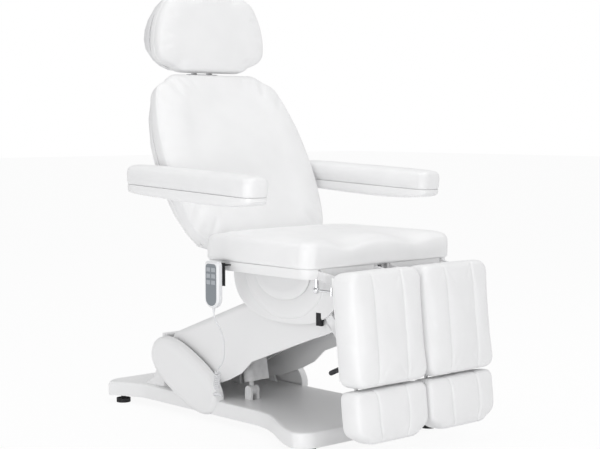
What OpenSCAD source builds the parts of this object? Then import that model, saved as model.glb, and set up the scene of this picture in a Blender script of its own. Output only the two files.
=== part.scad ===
// Podiatry chair: a seat on one inclined lift arm over a wide platform base.
// The sitter faces -Y, +X is the sitter's left and the floor is at z = 0.
// Side views are drawn in (y, z) with y = 0 on the seat's reference line.

/* [Seat] */
// Width of the seat cushion
seat_w = 650; // [600:5:670]
// Seat cushion's front edge, ahead of the reference line
seat_front = 269; // [255:1:275]
// Seat cushion's rear edge, behind the reference line
seat_rear = 233; // [225:1:238]
// Height of the seat cushion's underside, chair lowered
seat_z = 563; // [555:1:580]
// Thickness of the seat cushion at its rim
seat_thick = 80; // [60:1:95]
// Crown of the seat cushion
seat_crown = 10; // [4:1:20]
// Depth of the two thigh troughs
trough_deep = 17; // [5:1:22]
// Depth of the moulded pan under the cushion
pan_deep = 31; // [30:1:36]
// Wall of the pan and of the other moulded covers
wall_t = 4; // [3:0.5:5]

/* [Back] */
// Lean of the back from upright
back_lean = 26.7; // [20:0.1:30]
// Length of the back cushion
back_len = 640; // [600:5:680]
// Largest width of the back
back_w = 640; // [600:5:645]
// Thickness of the back cushion
back_thick = 60; // [50:1:66]
// Depth of the back shell
back_shell_deep = 34; // [32:1:40]

/* [Head cushion] */
// Width of the head cushion
head_w = 470; // [400:5:490]
// Height of the head cushion
head_len = 300; // [260:5:330]
// Thickness of the head cushion
head_thick = 74; // [50:1:85]
// Depth of the head shell
head_shell_deep = 50; // [46:1:60]
// Lean of the head cushion from upright
head_lean = 2; // [0:0.5:10]

/* [Armrests] */
// Length of an armrest
armrest_len = 630; // [560:2:650]
// Width of an armrest
armrest_w = 100; // [90:1:104]
// Thickness of an armrest's pad
armrest_pad_thick = 64; // [50:1:70]
// Depth of an armrest's shell
armrest_shell_deep = 37; // [34:1:42]
// Distance of an armrest's middle from the chair's middle
armrest_x = 382; // [380:1:390]

/* [Leg rests] */
// Width of a leg cushion
leg_w = 300; // [270:2:304]
// Length of a calf cushion
calf_len = 334; // [320:2:345]
// Thickness of a calf cushion
calf_thick = 95; // [70:1:100]
// Length of a foot cushion
foot_len = 152; // [130:2:160]
// Thickness of a foot cushion
foot_thick = 84; // [60:1:90]
// Lean of the leg rests from hanging straight down
leg_lean = 6.4; // [2:0.2:8]

/* [Lift arm] */
// Width of the lift arm's cover
arm_w = 330; // [320:2:332]
// Height of the lower pivot over the floor
lower_pivot_z = 168; // [164:1:176]
// Lower pivot, behind the reference line
lower_pivot_y = 505; // [500:1:512]
// Radius of the two main pivot shafts
shaft_r = 12.5; // [10:0.5:14]

/* [Base] */
// Half width of the base at its waist
waist_half = 204; // [202:1:208]
// Half width of the base at its front
base_front_half = 334; // [300:2:345]
// Half width of the base at its rear
base_rear_half = 270; // [250:2:285]
// Base's front edge, ahead of the reference line
base_front = 256; // [250:1:270]
// Base's rear edge, behind the reference line
base_rear = 875; // [850:1:890]
// Height of the base's top face
base_top = 75; // [72:1:80]
// Height of the base's lower edge, on its feet
base_gap = 25; // [22:1:28]
// Radius of a levelling foot
foot_r = 25; // [20:1:30]

/* [Hand control] */
// Width of the hand control
handset_w = 68; // [60:1:74]
// Length of the hand control
handset_len = 148; // [140:1:160]
// Thickness of the hand control
handset_t = 22; // [20:1:26]
// Diameter of its cord
cord_d = 4.5; // [4:0.1:5]

/* [Hidden] */
$fn = 40;

// General fits
pivot_gap = 0.05; // radial clearance of a pin or shaft that turns
slip = 0.3; // clearance of sliding and neighbouring parts
over = 1; // how far a cut runs past the face it opens
plate_t = 8; // thickness of the steel side plates
tube_r = 11; // radius of the frame's cross tubes

// Colours
white_shell = [0.93, 0.93, 0.94];
white_pad = [0.96, 0.96, 0.97];
steel_grey = [0.55, 0.56, 0.58];
dark_steel = [0.16, 0.16, 0.18];
rubber_black = [0.05, 0.05, 0.05];
chrome_grey = [0.8, 0.8, 0.83];

// Places of the pivots in the side view, as [y, z]
lower_pivot = [lower_pivot_y, lower_pivot_z];
upper_pivot_ahead = 30;
upper_pivot_below = 133;
upper_pivot = [-upper_pivot_ahead, seat_z - upper_pivot_below];
tilt_pivot_in = 28; // the tilt hinge's place ahead of the seat's rear edge
tilt_pivot_below = 48;
tilt_pivot = [seat_rear - tilt_pivot_in, seat_z - tilt_pivot_below];
back_pivot_behind = 52;
back_pivot_below = 3;
back_pivot = [seat_rear + back_pivot_behind, seat_z - back_pivot_below];
leg_pivot_ahead = 46;
leg_pivot_below = 28;
leg_pivot = [-seat_front - leg_pivot_ahead, seat_z - leg_pivot_below];

// The lift arm's own axes: s runs up along its cover, t is square to it
arm_reach = norm(upper_pivot - lower_pivot);
arm_rise = atan2(upper_pivot.y - lower_pivot.y, lower_pivot.x - upper_pivot.x);
cover_pitch = 5.6; // the cover lies flatter than the line of the pivots
cover_rise = arm_rise - cover_pitch;
function on_arm(s, t) = lower_pivot + [-s * cos(cover_rise) + t * sin(cover_rise),
  s * sin(cover_rise) + t * cos(cover_rise)];
upper_s = arm_reach * cos(cover_pitch);

// Layers outward from the middle, each beside the last
side_gap = 3;
hub_gap = 2;
seat_lug_inset = 10;
arm_half = arm_w / 2;
arm_plate_in = arm_half - wall_t - side_gap - plate_t;
arm_plate_out = arm_plate_in + plate_t;
carriage_in = arm_half + side_gap;
carriage_out = carriage_in + plate_t;
cheek_in = arm_half + side_gap + hub_gap;
cheek_out = cheek_in + plate_t;
seat_lug_in = arm_half - seat_lug_inset;
seat_lug_out = seat_lug_in + plate_t;

// The whole chair is set so that its box is centred on the origin
calf_front_reach = 126; // calf cushion's face ahead of the leg pivot, square to the leg
box_front = leg_pivot.x - calf_front_reach * cos(leg_lean) - calf_len * sin(leg_lean);
box_mid = (box_front + base_rear) / 2;
module in_frame() { translate([0, -box_mid, 0]) children(); }

// Side-view helpers: children drawn in (y, z) and carried across in x
module across(x0, x1) {
  translate([x0, 0, 0]) rotate([90, 0, 90]) linear_extrude(x1 - x0) children();
}
module x_pin(r, h) {
  rotate([0, 90, 0]) cylinder(r = r, h = h);
}
module y_pin(r, h) {
  rotate([-90, 0, 0]) cylinder(r = r, h = h);
}
module x_rod(at, r, x0, x1) {
  translate([x0, at.x, at.y]) x_pin(r, x1 - x0);
}
module both() {
  children();
  mirror([1, 0, 0]) children();
}
module bar_2d(p, q, w) {
  along = (q - p) / norm(q - p);
  side = [-along.y, along.x] * w / 2;
  polygon([p + side, p - side, q - side, q + side]);
}
// The bar between two eyes is a little narrower than they are
bar_share = 0.96;
module link_2d(p, q, w) {
  bar_2d(p, q, bar_share * w);
  translate(p) circle(d = w);
  translate(q) circle(d = w);
}
// Places a part drawn along +Y, with its face to +Z, on a pivot and leans it back
module leaning(at, lean) {
  translate([0, at.x, at.y]) rotate([90 - lean, 0, 0]) children();
}
module on_back() { leaning(back_pivot, back_lean) children(); }
module on_head() { leaning(head_pin_at, head_lean) children(); }
module on_leg() { leaning(leg_pivot, leg_lean) children(); }
module white() { color(white_shell) in_frame() children(); }
module dark() { color(dark_steel) in_frame() children(); }
module padded() { color(white_pad) in_frame() children(); }
module bright() { color(chrome_grey) in_frame() children(); }
module black() { color(rubber_black) in_frame() children(); }
module steel() { color(steel_grey) in_frame() children(); }
function lean_point(at, lean, y, z) = at + [y * sin(lean) - z * cos(lean), y * cos(lean) + z * sin(lean)];

// A closed body through rings of points, first ring on top, all counter-clockwise from above;
// a ring that mirrors itself can be closed in strips across
module loft(rings, strips = false) {
  n = len(rings[0]);
  last = (len(rings) - 1) * n;
  across = strips ? [for (j = [0:n / 2 - 2]) [j, j + 1, n - 2 - j, n - 1 - j]] : [[for (j = [0:n - 1]) j]];
  polyhedron(
    points = [for (ring = rings) each ring],
    faces = concat(
      [for (f = across) [for (j = [len(f) - 1:-1:0]) f[j]]],
      [for (k = [0:len(rings) - 2]) for (j = [0:n - 1]) let (a = k * n + j, b = k * n + (j + 1) % n)
        each [[a, b, b + n], [a, b + n, a + n]]],
      [for (f = across) [for (j = f) last + j]]));
}
// A rounded rectangle, counter-clockwise, as flat points
function rounded(half_x, half_y, r, steps) = [
  for (c = [[1, -1, -90], [1, 1, 0], [-1, 1, 90], [-1, -1, 180]])
    for (k = [0:steps]) let (a = c.z + 90 * k / steps)
      [c.x * (half_x - r) + r * cos(a), c.y * (half_y - r) + r * sin(a)]];
function lifted(ring, z) = [for (p = ring) [p.x, p.y, z]];
function moved(ring, by) = [for (p = ring) p + by];
// A ring of flat points moved inward by d along its own normals
function drawn_in(ring, d) = let (n = len(ring)) [
  for (i = [0:n - 1])
    let (a = ring[(i + n - 1) % n], b = ring[(i + 1) % n], t = (b - a) / norm(b - a))
      ring[i] + d * [-t.y, t.x]];

// A cushion: a crowned top over a grid of stations, rounded sides and a flat underside
function edge_loop(us, vs) = concat(
  [for (u = us) [u, -1]],
  [for (j = [1:len(vs) - 1]) [1, vs[j]]],
  [for (i = [len(us) - 2:-1:0]) [us[i], 1]],
  [for (j = [len(vs) - 2:-1:1]) [-1, vs[j]]]);
module cushion(us, vs, plan, top, edge) {
  nu = len(us);
  nv = len(vs);
  loop = edge_loop(us, vs);
  n = len(loop);
  grid_loop = concat(
    [for (i = [0:nu - 1]) i],
    [for (j = [1:nv - 1]) j * nu + nu - 1],
    [for (i = [nu - 2:-1:0]) (nv - 1) * nu + i],
    [for (j = [nv - 2:-1:1]) j * nu]);
  // Each side ring as [share of the edge drawn in, share of the height]
  side_shares = [[0.32, 0.93], [0, 0.72], [0.02, 0.4], [0.22, 0.12], [0.5, 0]];
  first = nu * nv;
  rings = len(side_shares);
  points = concat(
    [for (v = vs) for (u = us) let (p = plan(u, v, edge)) [p.x, p.y, top(u, v)]],
    [for (s = side_shares) for (q = loop) let (p = plan(q.x, q.y, s.x * edge))
      [p.x, p.y, s.y * top(q.x, q.y)]]);
  polyhedron(points = points, faces = concat(
    [for (j = [0:nv - 2]) for (i = [0:nu - 2]) let (a = j * nu + i)
      each [[a, a + nu, a + nu + 1], [a, a + nu + 1, a + 1]]],
    [for (j = [0:n - 1])
      let (a = grid_loop[j], b = grid_loop[(j + 1) % n], c = first + j, d = first + (j + 1) % n)
      each [[a, b, d], [a, d, c]]],
    [for (k = [0:rings - 2]) for (j = [0:n - 1])
      let (a = first + k * n + j, b = first + k * n + (j + 1) % n)
        each [[a, b, b + n], [a, b + n, a + n]]],
    [[for (j = [0:n - 1]) first + (rings - 1) * n + j]]));
}
// Plan of a cushion with rounded corners: half sizes, corner radius, sides drawn in between corners
corner_power = 6;
corner_share = 0.293;
function pad_plan(half_x, half_y, corner, waist) =
  function (u, v, inset)
    let (hx = half_x - inset, hy = half_y - inset,
       cx = corner_share * corner / half_x, cy = corner_share * corner / half_y)
      [hx * u * (1 - cx * pow(abs(v), corner_power)) - waist * u * (1 - v * v) * (abs(u) == 1 ? 1 : 0.6),
       hy * v * (1 - cy * pow(abs(u), corner_power))];
function smooth(x) = let (c = min(1, max(0, x))) c * c * (3 - 2 * c);

// Base
base_corner = 60;
base_edge = 14; // how far the top edge is drawn in
base_flare_front = 330;
base_flare_rear = 190;
base_flare_from = 95; // the front flare starts this far behind the reference line
base_rear_from = 690;
function base_half(y) = waist_half
  + (base_front_half - waist_half) * smooth((base_flare_from - y) / base_flare_front)
  + (base_rear_half - waist_half) * smooth((y - base_rear_from) / base_flare_rear);
flare_steps = 5;
function stations(from, to, steps) = [for (i = [0:steps]) from + (to - from) * i / steps];
base_ring = let (
    ys = concat(stations(base_corner - base_front, base_flare_from, flare_steps),
      stations(base_rear_from, base_rear - base_corner, flare_steps)),
    front_half = base_half(-base_front),
    rear_half = base_half(base_rear))
  concat(
    [for (k = [0:4]) let (a = -90 + 90 * k / 5)
      [front_half - base_corner + base_corner * cos(a), -base_front + base_corner + base_corner * sin(a)]],
    [for (y = ys) [base_half(y), y]],
    [for (k = [1:5]) let (a = 90 * k / 5)
      [rear_half - base_corner + base_corner * cos(a), base_rear - base_corner + base_corner * sin(a)]],
    [for (k = [0:4]) let (a = 90 + 90 * k / 5)
      [-rear_half + base_corner + base_corner * cos(a), base_rear - base_corner + base_corner * sin(a)]],
    [for (i = [len(ys) - 1:-1:0]) [-base_half(ys[i]), ys[i]]],
    [for (k = [1:5]) let (a = 180 + 90 * k / 5)
      [-front_half + base_corner + base_corner * cos(a), -base_front + base_corner + base_corner * sin(a)]]);

// Fairing behind the lower pivot: its rear face as shares of its height, leaning in as it rises
fairing_top = 258;
fairing_rear = 742;
fairing_clear = 148; // radius kept free round the lower pivot for the arm's rear end
fairing_half = 168;
fairing_lean_shares = [[0, 1], [0.12, 0.55], [0.35, 0.3], [0.7, 0.12], [1, 0]];
fairing_in = 84; // how far its top stands ahead of its foot
floor_clear = 8; // height of the frame over the cover's lower edge

module base_cover() {
  white() difference() {
    union() {
      // Down the outside and up again inside
      loft([
        lifted(drawn_in(base_ring, base_edge), base_top),
        lifted(drawn_in(base_ring, base_edge / 3), base_top - base_edge / 3),
        lifted(base_ring, base_top - base_edge),
        lifted(base_ring, base_gap),
        lifted(drawn_in(base_ring, wall_t), base_gap),
        lifted(drawn_in(base_ring, wall_t), base_top - base_edge),
        lifted(drawn_in(base_ring, base_edge + wall_t), base_top - wall_t)], true);
      fairing(0);
    }
    fairing(wall_t);
    both() cheek_slot();
    link_slot();
    motor_slot();
    both() translate([waist_half - cover_screw_deep, screw_y, screw_z])
      x_pin(screw_r + slip, 2 * cover_screw_deep, $fn = 16);
    inlet_hole();
  }
}
// The fairing's body, scooped out round the lower pivot; drawn in, it is the hollow inside
module fairing(in) {
  difference() {
    loft([for (k = [len(fairing_lean_shares) - 1:-1:0])
      let (share = fairing_lean_shares[k],
         rear = fairing_rear - fairing_in + fairing_in * share.y,
         low = base_top - (in > 0 ? in + over : wall_t / 2),
         z = low + (fairing_top - in - low) * share.x,
         half = fairing_half + fairing_flare * share.y,
         front = lower_pivot.x + fairing_clear - fairing_depth)
      lifted(moved(rounded(half - in, (rear - front) / 2 - in, fairing_round / 2 - in, 3),
        [0, (rear + front) / 2]), z)]);
    across(-base_rear_half, base_rear_half) translate(lower_pivot) polygon([for (k = [1:fairing_steps])
      (fairing_clear + in) * [cos(360 * k / fairing_steps), sin(360 * k / fairing_steps)]]);
  }
}
fairing_steps = 72;
fairing_flare = 14;
fairing_round = 30;
fairing_depth = 26;

cheek_foot_half = 90;
cheek_head_r = 34;
module cheek_2d() {
  polygon([
    [lower_pivot.x - cheek_foot_half, frame_low], [lower_pivot.x + cheek_foot_half, frame_low],
    [lower_pivot.x + cheek_head_r, lower_pivot.y], [lower_pivot.x - cheek_head_r, lower_pivot.y]]);
  translate(lower_pivot) circle(r = cheek_head_r);
}
module cheek_slot() {
  translate([cheek_in - over, lower_pivot.x - cheek_foot_half - over, base_gap])
    cube([plate_t + 2 * over, 2 * cheek_foot_half + 2 * over, base_top]);
}
frame_low = base_gap + floor_clear;
frame_h = base_top - wall_t - frame_low - over;
rail_x = 120;
rail_w = 40;
foot_rear_in = 67; // levelling feet ahead of the base's rear edge
foot_front_in = 45;
rear_foot_half = 224;
front_foot_half = 268;
stud_r = 5;
feet = [[front_foot_half, -base_front + foot_front_in], [rear_foot_half, base_rear - foot_rear_in]];
foot_h = 14;
foot_collar_r = 9;

// The link's lower pin stands this far below the lower pivot
link_drop = 55;
link_x = 62;
link_t = 12;
link_ear_t = 8;
link_pin_r = 6;
link_w = 22;
link_low = lower_pivot - [0, link_drop];
link_high = upper_pivot - [0, link_drop];
module link_ears_2d() {
  bar_2d([link_low.x, frame_low], link_low, 2 * link_w);
  translate(link_low) circle(r = link_w * 0.6);
}
module ear_pair(x, gap, t) {
  across(x - gap / 2 - t, x - gap / 2) children();
  across(x + gap / 2, x + gap / 2 + t) children();
}
module link_slot() {
  translate([link_x - link_t / 2 - link_ear_t - 2 * over, link_low.x - link_w - over, base_gap])
    cube([link_t + 2 * link_ear_t + 4 * over, 2 * link_w + 2 * over, base_top]);
}

// Lift actuator: as far from the lower pivot as its upper pin is, so that it swings evenly
motor_x = -95;
lift_low_z = 105;
lift_low_ahead = 255;
lift_arm_r = sqrt(pow(lift_low_ahead, 2) + pow(lower_pivot.y - lift_low_z, 2));
lift_low = [lower_pivot.x - lift_low_ahead, lift_low_z];
lift_high_rise = 35; // angle of the upper pin over level, seen from the lower pivot
lift_high = lower_pivot + lift_arm_r * [-cos(lift_high_rise), sin(lift_high_rise)];
lift_len = norm(lift_high - lift_low);
lift_tube_r = 22;
lift_rod_r = 9;
lift_pin_r = 7;
lift_eye_w = 20;
lift_play = 2.3; // the upper eye's clearance takes up the drive's unevenness
motor_ear_t = 8;
motor_in = motor_x - lift_eye_w / 2;
motor_out = motor_x + lift_eye_w / 2;
module lift_ears_2d() {
  bar_2d([lift_low.x, frame_low], lift_low, 2 * lift_eye_r);
  translate(lift_low) circle(r = lift_eye_r);
}
lift_eye_r = 16;
module motor_slot() {
  translate([motor_in - motor_ear_t - 2 * over, lift_low.x - lift_eye_r - over, base_gap])
    cube([lift_eye_w + 2 * motor_ear_t + 4 * over, 2 * lift_eye_r + 2 * over, base_top]);
}

module base_frame() {
  dark() difference() {
    union() {
      both() {
        translate([rail_x, -base_front + foot_front_in - rail_w / 2, frame_low])
          cube([rail_w, base_rear + base_front - foot_front_in - foot_rear_in + rail_w, frame_h]);
        across(cheek_in, cheek_out) cheek_2d();
        translate([rail_x, lower_pivot.x - cheek_foot_half, frame_low])
          cube([cheek_out - rail_x, 2 * cheek_foot_half, plate_t]);
      }
      for (f = feet) translate([-f.x - foot_collar_r, f.y - rail_w / 2, frame_low])
        cube([2 * f.x + 2 * foot_collar_r, rail_w, frame_h - base_edge]);
      x_rod(lower_pivot, shaft_r, -cheek_out, cheek_out);
      ear_pair(link_x, link_t + 2 * slip, link_ear_t) link_ears_2d();
      x_rod(link_low, link_pin_r, link_x - link_t / 2 - link_ear_t, link_x + link_t / 2 + link_ear_t);
      ear_pair(motor_x, lift_eye_w + 2 * slip, motor_ear_t) lift_ears_2d();
      x_rod(lift_low, lift_pin_r, motor_in - motor_ear_t, motor_out + motor_ear_t);
      translate([-rail_x, link_low.x - rail_w, frame_low]) cube([2 * rail_x, 2 * rail_w, plate_t]);
      translate([-rail_x, lift_low.x - rail_w, frame_low]) cube([2 * rail_x, 2 * rail_w, plate_t]);
      power_shelf();
    }
    for (f = feet) for (side = [-1, 1]) translate([side * f.x, f.y, frame_low - over])
      cylinder(r = stud_r + slip, h = frame_h + 2 * over);
  }
}
module power_shelf() {
  translate([-power_w / 2, power_from - 2 * over, frame_low]) cube([power_w, power_len, plate_t / 2]);
}

module levelling_feet() {
  black() for (f = feet) for (side = [-1, 1]) translate([side * f.x, f.y, 0]) {
    cylinder(r = foot_r, h = foot_h);
    cylinder(r = foot_collar_r, h = frame_low);
    cylinder(r = stud_r, h = frame_low + frame_h - over);
  }
}

// Oval side covers over the lower pivot
oval_half_len = 193;
oval_half_w = 84;
oval_tilt = 25;
oval_ahead = 24;
oval_below = 32;
oval_mid = lower_pivot - [oval_ahead, oval_below];
oval_power = 0.8; // below one, the oval is fuller than an ellipse
function oval(half_x, half_y, steps) = [for (k = [0:steps - 1]) let (a = 360 * k / steps)
  [half_x * sign(cos(a)) * pow(abs(cos(a)), oval_power),
    half_y * sign(sin(a)) * pow(abs(sin(a)), oval_power)]];
// Rings of the cover, as [share of its depth, share drawn in]
oval_shares = [[1, 0.34], [0.93, 0.16], [0.8, 0.07], [0.5, 0], [0, 0]];
oval_steps = 36;
module oval_body(grow, deep) {
  loft([for (s = oval_shares)
    lifted(oval(oval_half_len + grow - s.y * oval_half_w, oval_half_w + grow - s.y * oval_half_w,
      oval_steps),
      s.x * deep)]);
}
oval_x = waist_half + slip;
oval_back = cheek_out + slip;
module oval_placed() {
  multmatrix([[0, 0, 1, oval_back], [-cos(oval_tilt), -sin(oval_tilt), 0, oval_mid.x],
        [-sin(oval_tilt), cos(oval_tilt), 0, oval_mid.y], [0, 0, 0, 1]]) children();
}
module side_cover() {
  difference() {
    oval_placed() oval_body(0, oval_x + oval_out - oval_back);
    oval_placed() translate([0, 0, -over])
      oval_body(-wall_t, oval_x + oval_out - oval_back - wall_t);
    x_rod(lower_pivot, cheek_head_r + slip, cheek_in, oval_back + slip);
    base_room();
  }
  // A boss seats the cover on the cheek's outer face
  x_rod(lower_pivot, shaft_r, oval_back, oval_x + oval_out - wall_t + over);
}
oval_out = 14;
// Room for the platform's side behind the cover
module base_room() {
  loft([
    lifted(drawn_in(base_ring, base_edge - slip), base_top + slip),
    lifted(drawn_in(base_ring, base_edge / 3 - slip), base_top - base_edge / 3 + slip),
    lifted(drawn_in(base_ring, -slip), base_top - base_edge + slip),
    lifted(drawn_in(base_ring, -slip), 0)]);
}
module side_covers() {
  white() difference() {
    both() side_cover();
    translate(cord_exit) rotate([-90, 0, 0])
      cylinder(r = gland_r + 2 * slip, h = gland_len + slip, $fn = 12);
  }
}

// Small screws in the platform's sides
screw_r = 5;
screw_y = 365;
screw_z = 47;
cover_screw_deep = 9;
screw_head = 3;
module cover_screws() {
  dark() both() translate([waist_half - cover_screw_deep, screw_y, screw_z])
    x_pin(screw_r, cover_screw_deep + screw_head, $fn = 24);
}

// Control box with its mains inlet, behind the frame's rear beam
power_from = base_rear - foot_rear_in + rail_w / 2 + over;
power_len = base_rear - wall_t - over - power_from;
power_w = 220;
power_h = 22;
power_z = frame_low + plate_t / 2;
inlet_w = 50;
inlet_h = 20;
module inlet_hole() {
  translate([-inlet_w / 2 - slip, power_from + over, power_z])
    cube([inlet_w + 2 * slip, base_rear, inlet_h + slip]);
}
module power_unit() {
  dark() difference() {
    union() {
      translate([-power_w / 2, power_from, power_z]) cube([power_w, power_len, power_h]);
      translate([-inlet_w / 2, power_from, power_z]) cube([inlet_w, base_rear - power_from, inlet_h]);
    }
    translate([-inlet_w / 2 + wall_t, power_from + power_len / 2, power_z + wall_t])
      cube([inlet_w - 2 * wall_t, power_len, inlet_h - 2 * wall_t]);
  }
}

// Lift arm
arm_top = 126; // cover's top over the lower pivot, square to the arm
arm_bulge = 100; // cover's lower edge below the line of the pivots, at its deepest
arm_round = 26;
// Stations of the cover, as [share of the length between the pivots, top share, skirt share]
arm_shares = [
  [-0.132, 0.74, 0.2], [-0.115, 0.9, 0.5], [-0.08, 1, 0.74], [0, 1, 0.84], [0.15, 1, 1.0], [0.34, 1, 1.0],
  [0.45, 1, 0.94], [0.56, 1, 0.7], [0.68, 1, 0.7], [0.78, 0.84, 0.7], [0.9, 0.79, 0.7],
  [1.0, 0.75, 0.7], [1.08, 0.56, 0.7], [1.16, 0.2, 0.72], [1.22, -0.12, 0.72], [1.25, -0.45, 0.7]];
function arm_ring(station, half, r, in, drop) =
  let (top = station.y * arm_top - in, low = -station.z * arm_bulge - drop)
    [for (p = concat(
        [[-half, low], [half, low]],
        [for (k = [0:4]) let (a = 90 * k / 4) [half - r + r * cos(a), top - r + r * sin(a)]],
        [for (k = [0:4]) let (a = 90 + 90 * k / 4) [-half + r + r * cos(a), top - r + r * sin(a)]]))
      [p.x, station.x * upper_s, p.y]];
// Arm axes: x across, y along s, z along t
module on_cover() {
  translate([0, lower_pivot.x, lower_pivot.y]) rotate([-cover_rise, 0, 0]) mirror([0, 1, 0]) children();
}
module arm_body(in, drop, first, last) {
  loft([for (k = [first:last]) arm_ring(arm_shares[k], arm_half - in, arm_round - in, in, drop)]);
}
module arm_cover() {
  white() difference() {
    on_cover() arm_body(0, 0, 0, len(arm_shares) - 1);
    on_cover() arm_body(wall_t, 4 * wall_t, 1, len(arm_shares) - 2);
    x_rod(lower_pivot, arm_hub_r + slip, -arm_w, arm_w);
    x_rod(upper_pivot, arm_hub_r + slip, -arm_w, arm_w);
    // Room for the link's ears as the arm rises
    on_cover() translate([link_x - 2 * link_ear_t, -arm_plate_w - link_w, -arm_bulge])
      cube([4 * link_ear_t, 2 * link_w, arm_bulge - ears_below]);
  }
}
ears_below = 14;
arm_hub_r = 20;
arm_plate_w = 76;
arm_hub_x = 24; // how far the hubs reach in from the plates
arm_tube_shares = [0.26, 0.78];
arm_top_shares = [for (q = arm_shares) [q.x, q.y]];
function tube_at(share) = on_arm(share * upper_s,
  lookup(share, arm_top_shares) * arm_top - wall_t - over - tube_r - arm_round / 2);
cover_seat = 14;
module arm_frame() {
  dark() difference() {
    union() {
      both() {
        across(arm_plate_in, arm_plate_out) {
          link_2d(lower_pivot, upper_pivot, 2 * arm_hub_r);
          link_2d(lower_pivot, (lower_pivot + upper_pivot) / 2, arm_plate_w);
          for (share = arm_tube_shares) link_2d(on_arm(share * upper_s, 0), tube_at(share), 2 * tube_r);
          bar_2d(lift_high, on_arm(0.5 * upper_s, 0), 2 * cover_seat);
        }
        x_rod(lower_pivot, arm_hub_r, arm_plate_out - arm_hub_x, arm_half + hub_gap);
        x_rod(upper_pivot, arm_hub_r, arm_plate_out - arm_hub_x, arm_half + hub_gap);
      }
      for (share = arm_tube_shares)
        x_rod(tube_at(share), tube_r, -arm_plate_in - plate_t / 2, arm_plate_in + plate_t / 2);
      x_rod(lift_high, lift_pin_r, -arm_plate_out + over, arm_plate_out - over);
      dark_panel();
    }
    both() {
      x_rod(lower_pivot, shaft_r + pivot_gap, arm_plate_in - arm_hub_x - over, arm_half + side_gap);
      x_rod(upper_pivot, shaft_r + pivot_gap, arm_plate_in - arm_hub_x - over, arm_half + side_gap);
    }
  }
}
// A thin panel between the side plates closes the upper half of the arm from below
panel_shares = [0.55, 0.9];
panel_drop = 10;
module dark_panel() {
  along = upper_pivot - lower_pivot;
  drop = [0, -panel_drop];
  across(-arm_plate_in - over, arm_plate_in + over)
    bar_2d(lower_pivot + panel_shares[0] * along + drop, lower_pivot + panel_shares[1] * along + drop,
      wall_t);
}

module parallel_link() {
  steel() difference() {
    across(link_x - link_t / 2, link_x + link_t / 2) link_2d(link_low, link_high, link_w);
    x_rod(link_low, link_pin_r + pivot_gap, link_x - link_t, link_x + link_t);
    x_rod(link_high, link_pin_r + slip, link_x - link_t, link_x + link_t);
  }
}
module lift_axis() {
  // Along +Z from the lower pin to the upper pin
  d = lift_high - lift_low;
  translate([motor_x, lift_low.x, lift_low.y]) rotate([-atan2(d.x, d.y), 0, 0]) children();
}
lift_tube_from = 30;
lift_tube_end = 192;
lift_rod_in = 42;
lift_neck_r = 8;
motor_box = 62;
module lift_motor() {
  dark() difference() {
    union() {
      x_rod(lift_low, lift_eye_r, motor_in, motor_out);
      lift_axis() {
        cylinder(r = lift_neck_r, h = lift_tube_from + over);
        translate([0, 0, lift_tube_from]) cylinder(r = lift_tube_r, h = lift_tube_end - lift_tube_from);
        translate([0, -lift_tube_r + over, lift_tube_from + over])
          cube([motor_box, 2 * lift_tube_r - 2 * over, 1.6 * motor_box]);
      }
    }
    x_rod(lift_low, lift_pin_r + pivot_gap, motor_x - lift_eye_w, motor_x + lift_eye_w);
    lift_axis() translate([0, 0, lift_rod_in - over])
      cylinder(r = lift_rod_r + slip, h = lift_tube_end);
  }
}
module lift_rod() {
  bright() difference() {
    union() {
      lift_axis() translate([0, 0, lift_rod_in])
        cylinder(r = lift_rod_r, h = lift_len - lift_rod_in - lift_pin_r - lift_play - over);
      x_rod(lift_high, lift_eye_r, motor_in, motor_out);
    }
    x_rod(lift_high, lift_pin_r + lift_play, motor_x - lift_eye_w, motor_x + lift_eye_w);
  }
}

// Carriage
rear_bar_ahead = 66; // its rear cross bar, ahead of the tilt hinge
rear_bar_below = 64;
rear_bar_h = 20;
rear_bar_d = 28;
tilt_lug_r = 16;
tilt_pin_r = 8;
front_tube_ahead = 213; // carriage's front tube ahead of the upper pivot
front_tube_below = 70;
tilt_high_below = 18;
tilt_low = upper_pivot - [front_tube_ahead, front_tube_below];
tilt_high = [tilt_low.x, seat_z - tilt_high_below];
rear_bar = tilt_pivot - [rear_bar_ahead, rear_bar_below];
carriage_plate_r = 30;
module carriage_plate_2d() {
  link_2d(upper_pivot, rear_bar, 2 * carriage_plate_r);
  link_2d(rear_bar, tilt_pivot, 2 * tilt_lug_r);
  link_2d(upper_pivot, upper_pivot + [-0.75 * front_tube_ahead, -0.1 * front_tube_below], 2 * tilt_lug_r);
  link_2d(upper_pivot + [-0.75 * front_tube_ahead, -0.1 * front_tube_below], tilt_low, 2 * tilt_lug_r);
}
lever_t = 8;
module carriage_frame() {
  dark() difference() {
    union() {
      both() {
        across(carriage_in, carriage_out) carriage_plate_2d();
        x_rod(tilt_pivot, tilt_pin_r, seat_lug_in - over, carriage_out);
      }
      x_rod(upper_pivot, shaft_r, -carriage_out, carriage_out);
      across(-carriage_out, carriage_out)
        translate(rear_bar - [rear_bar_d, rear_bar_h] / 2) square([rear_bar_d, rear_bar_h]);
      x_rod(tilt_low, tilt_tube_r, -carriage_out, carriage_out);
      ear_pair(link_x, link_t + 2 * slip, lever_t) link_2d(upper_pivot, link_high, 1.5 * link_w);
      x_rod(link_high, link_pin_r, link_x - link_t / 2 - lever_t, link_x + link_t / 2 + lever_t);
    }
    translate([-tilt_eye_w / 2 - slip, tilt_low.x - tilt_eye_r - over,
      tilt_low.y - tilt_eye_r - over])
      difference() {
        cube([tilt_eye_w + 2 * slip, 2 * tilt_eye_r + 2 * over, 2 * tilt_eye_r + 2 * over]);
        translate([-over, tilt_eye_r + over, tilt_eye_r + over])
          x_pin(tilt_rod_r, tilt_eye_w + 4 * over);
      }
  }
}
tilt_tube_r = 11;
tilt_eye_w = 24;
tilt_eye_r = 13;
tilt_rod_r = 7;
tilt_body_r = 12;
tilt_body_end = 112;
tilt_play = 1.5;
tilt_pin_top_r = 5;
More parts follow.
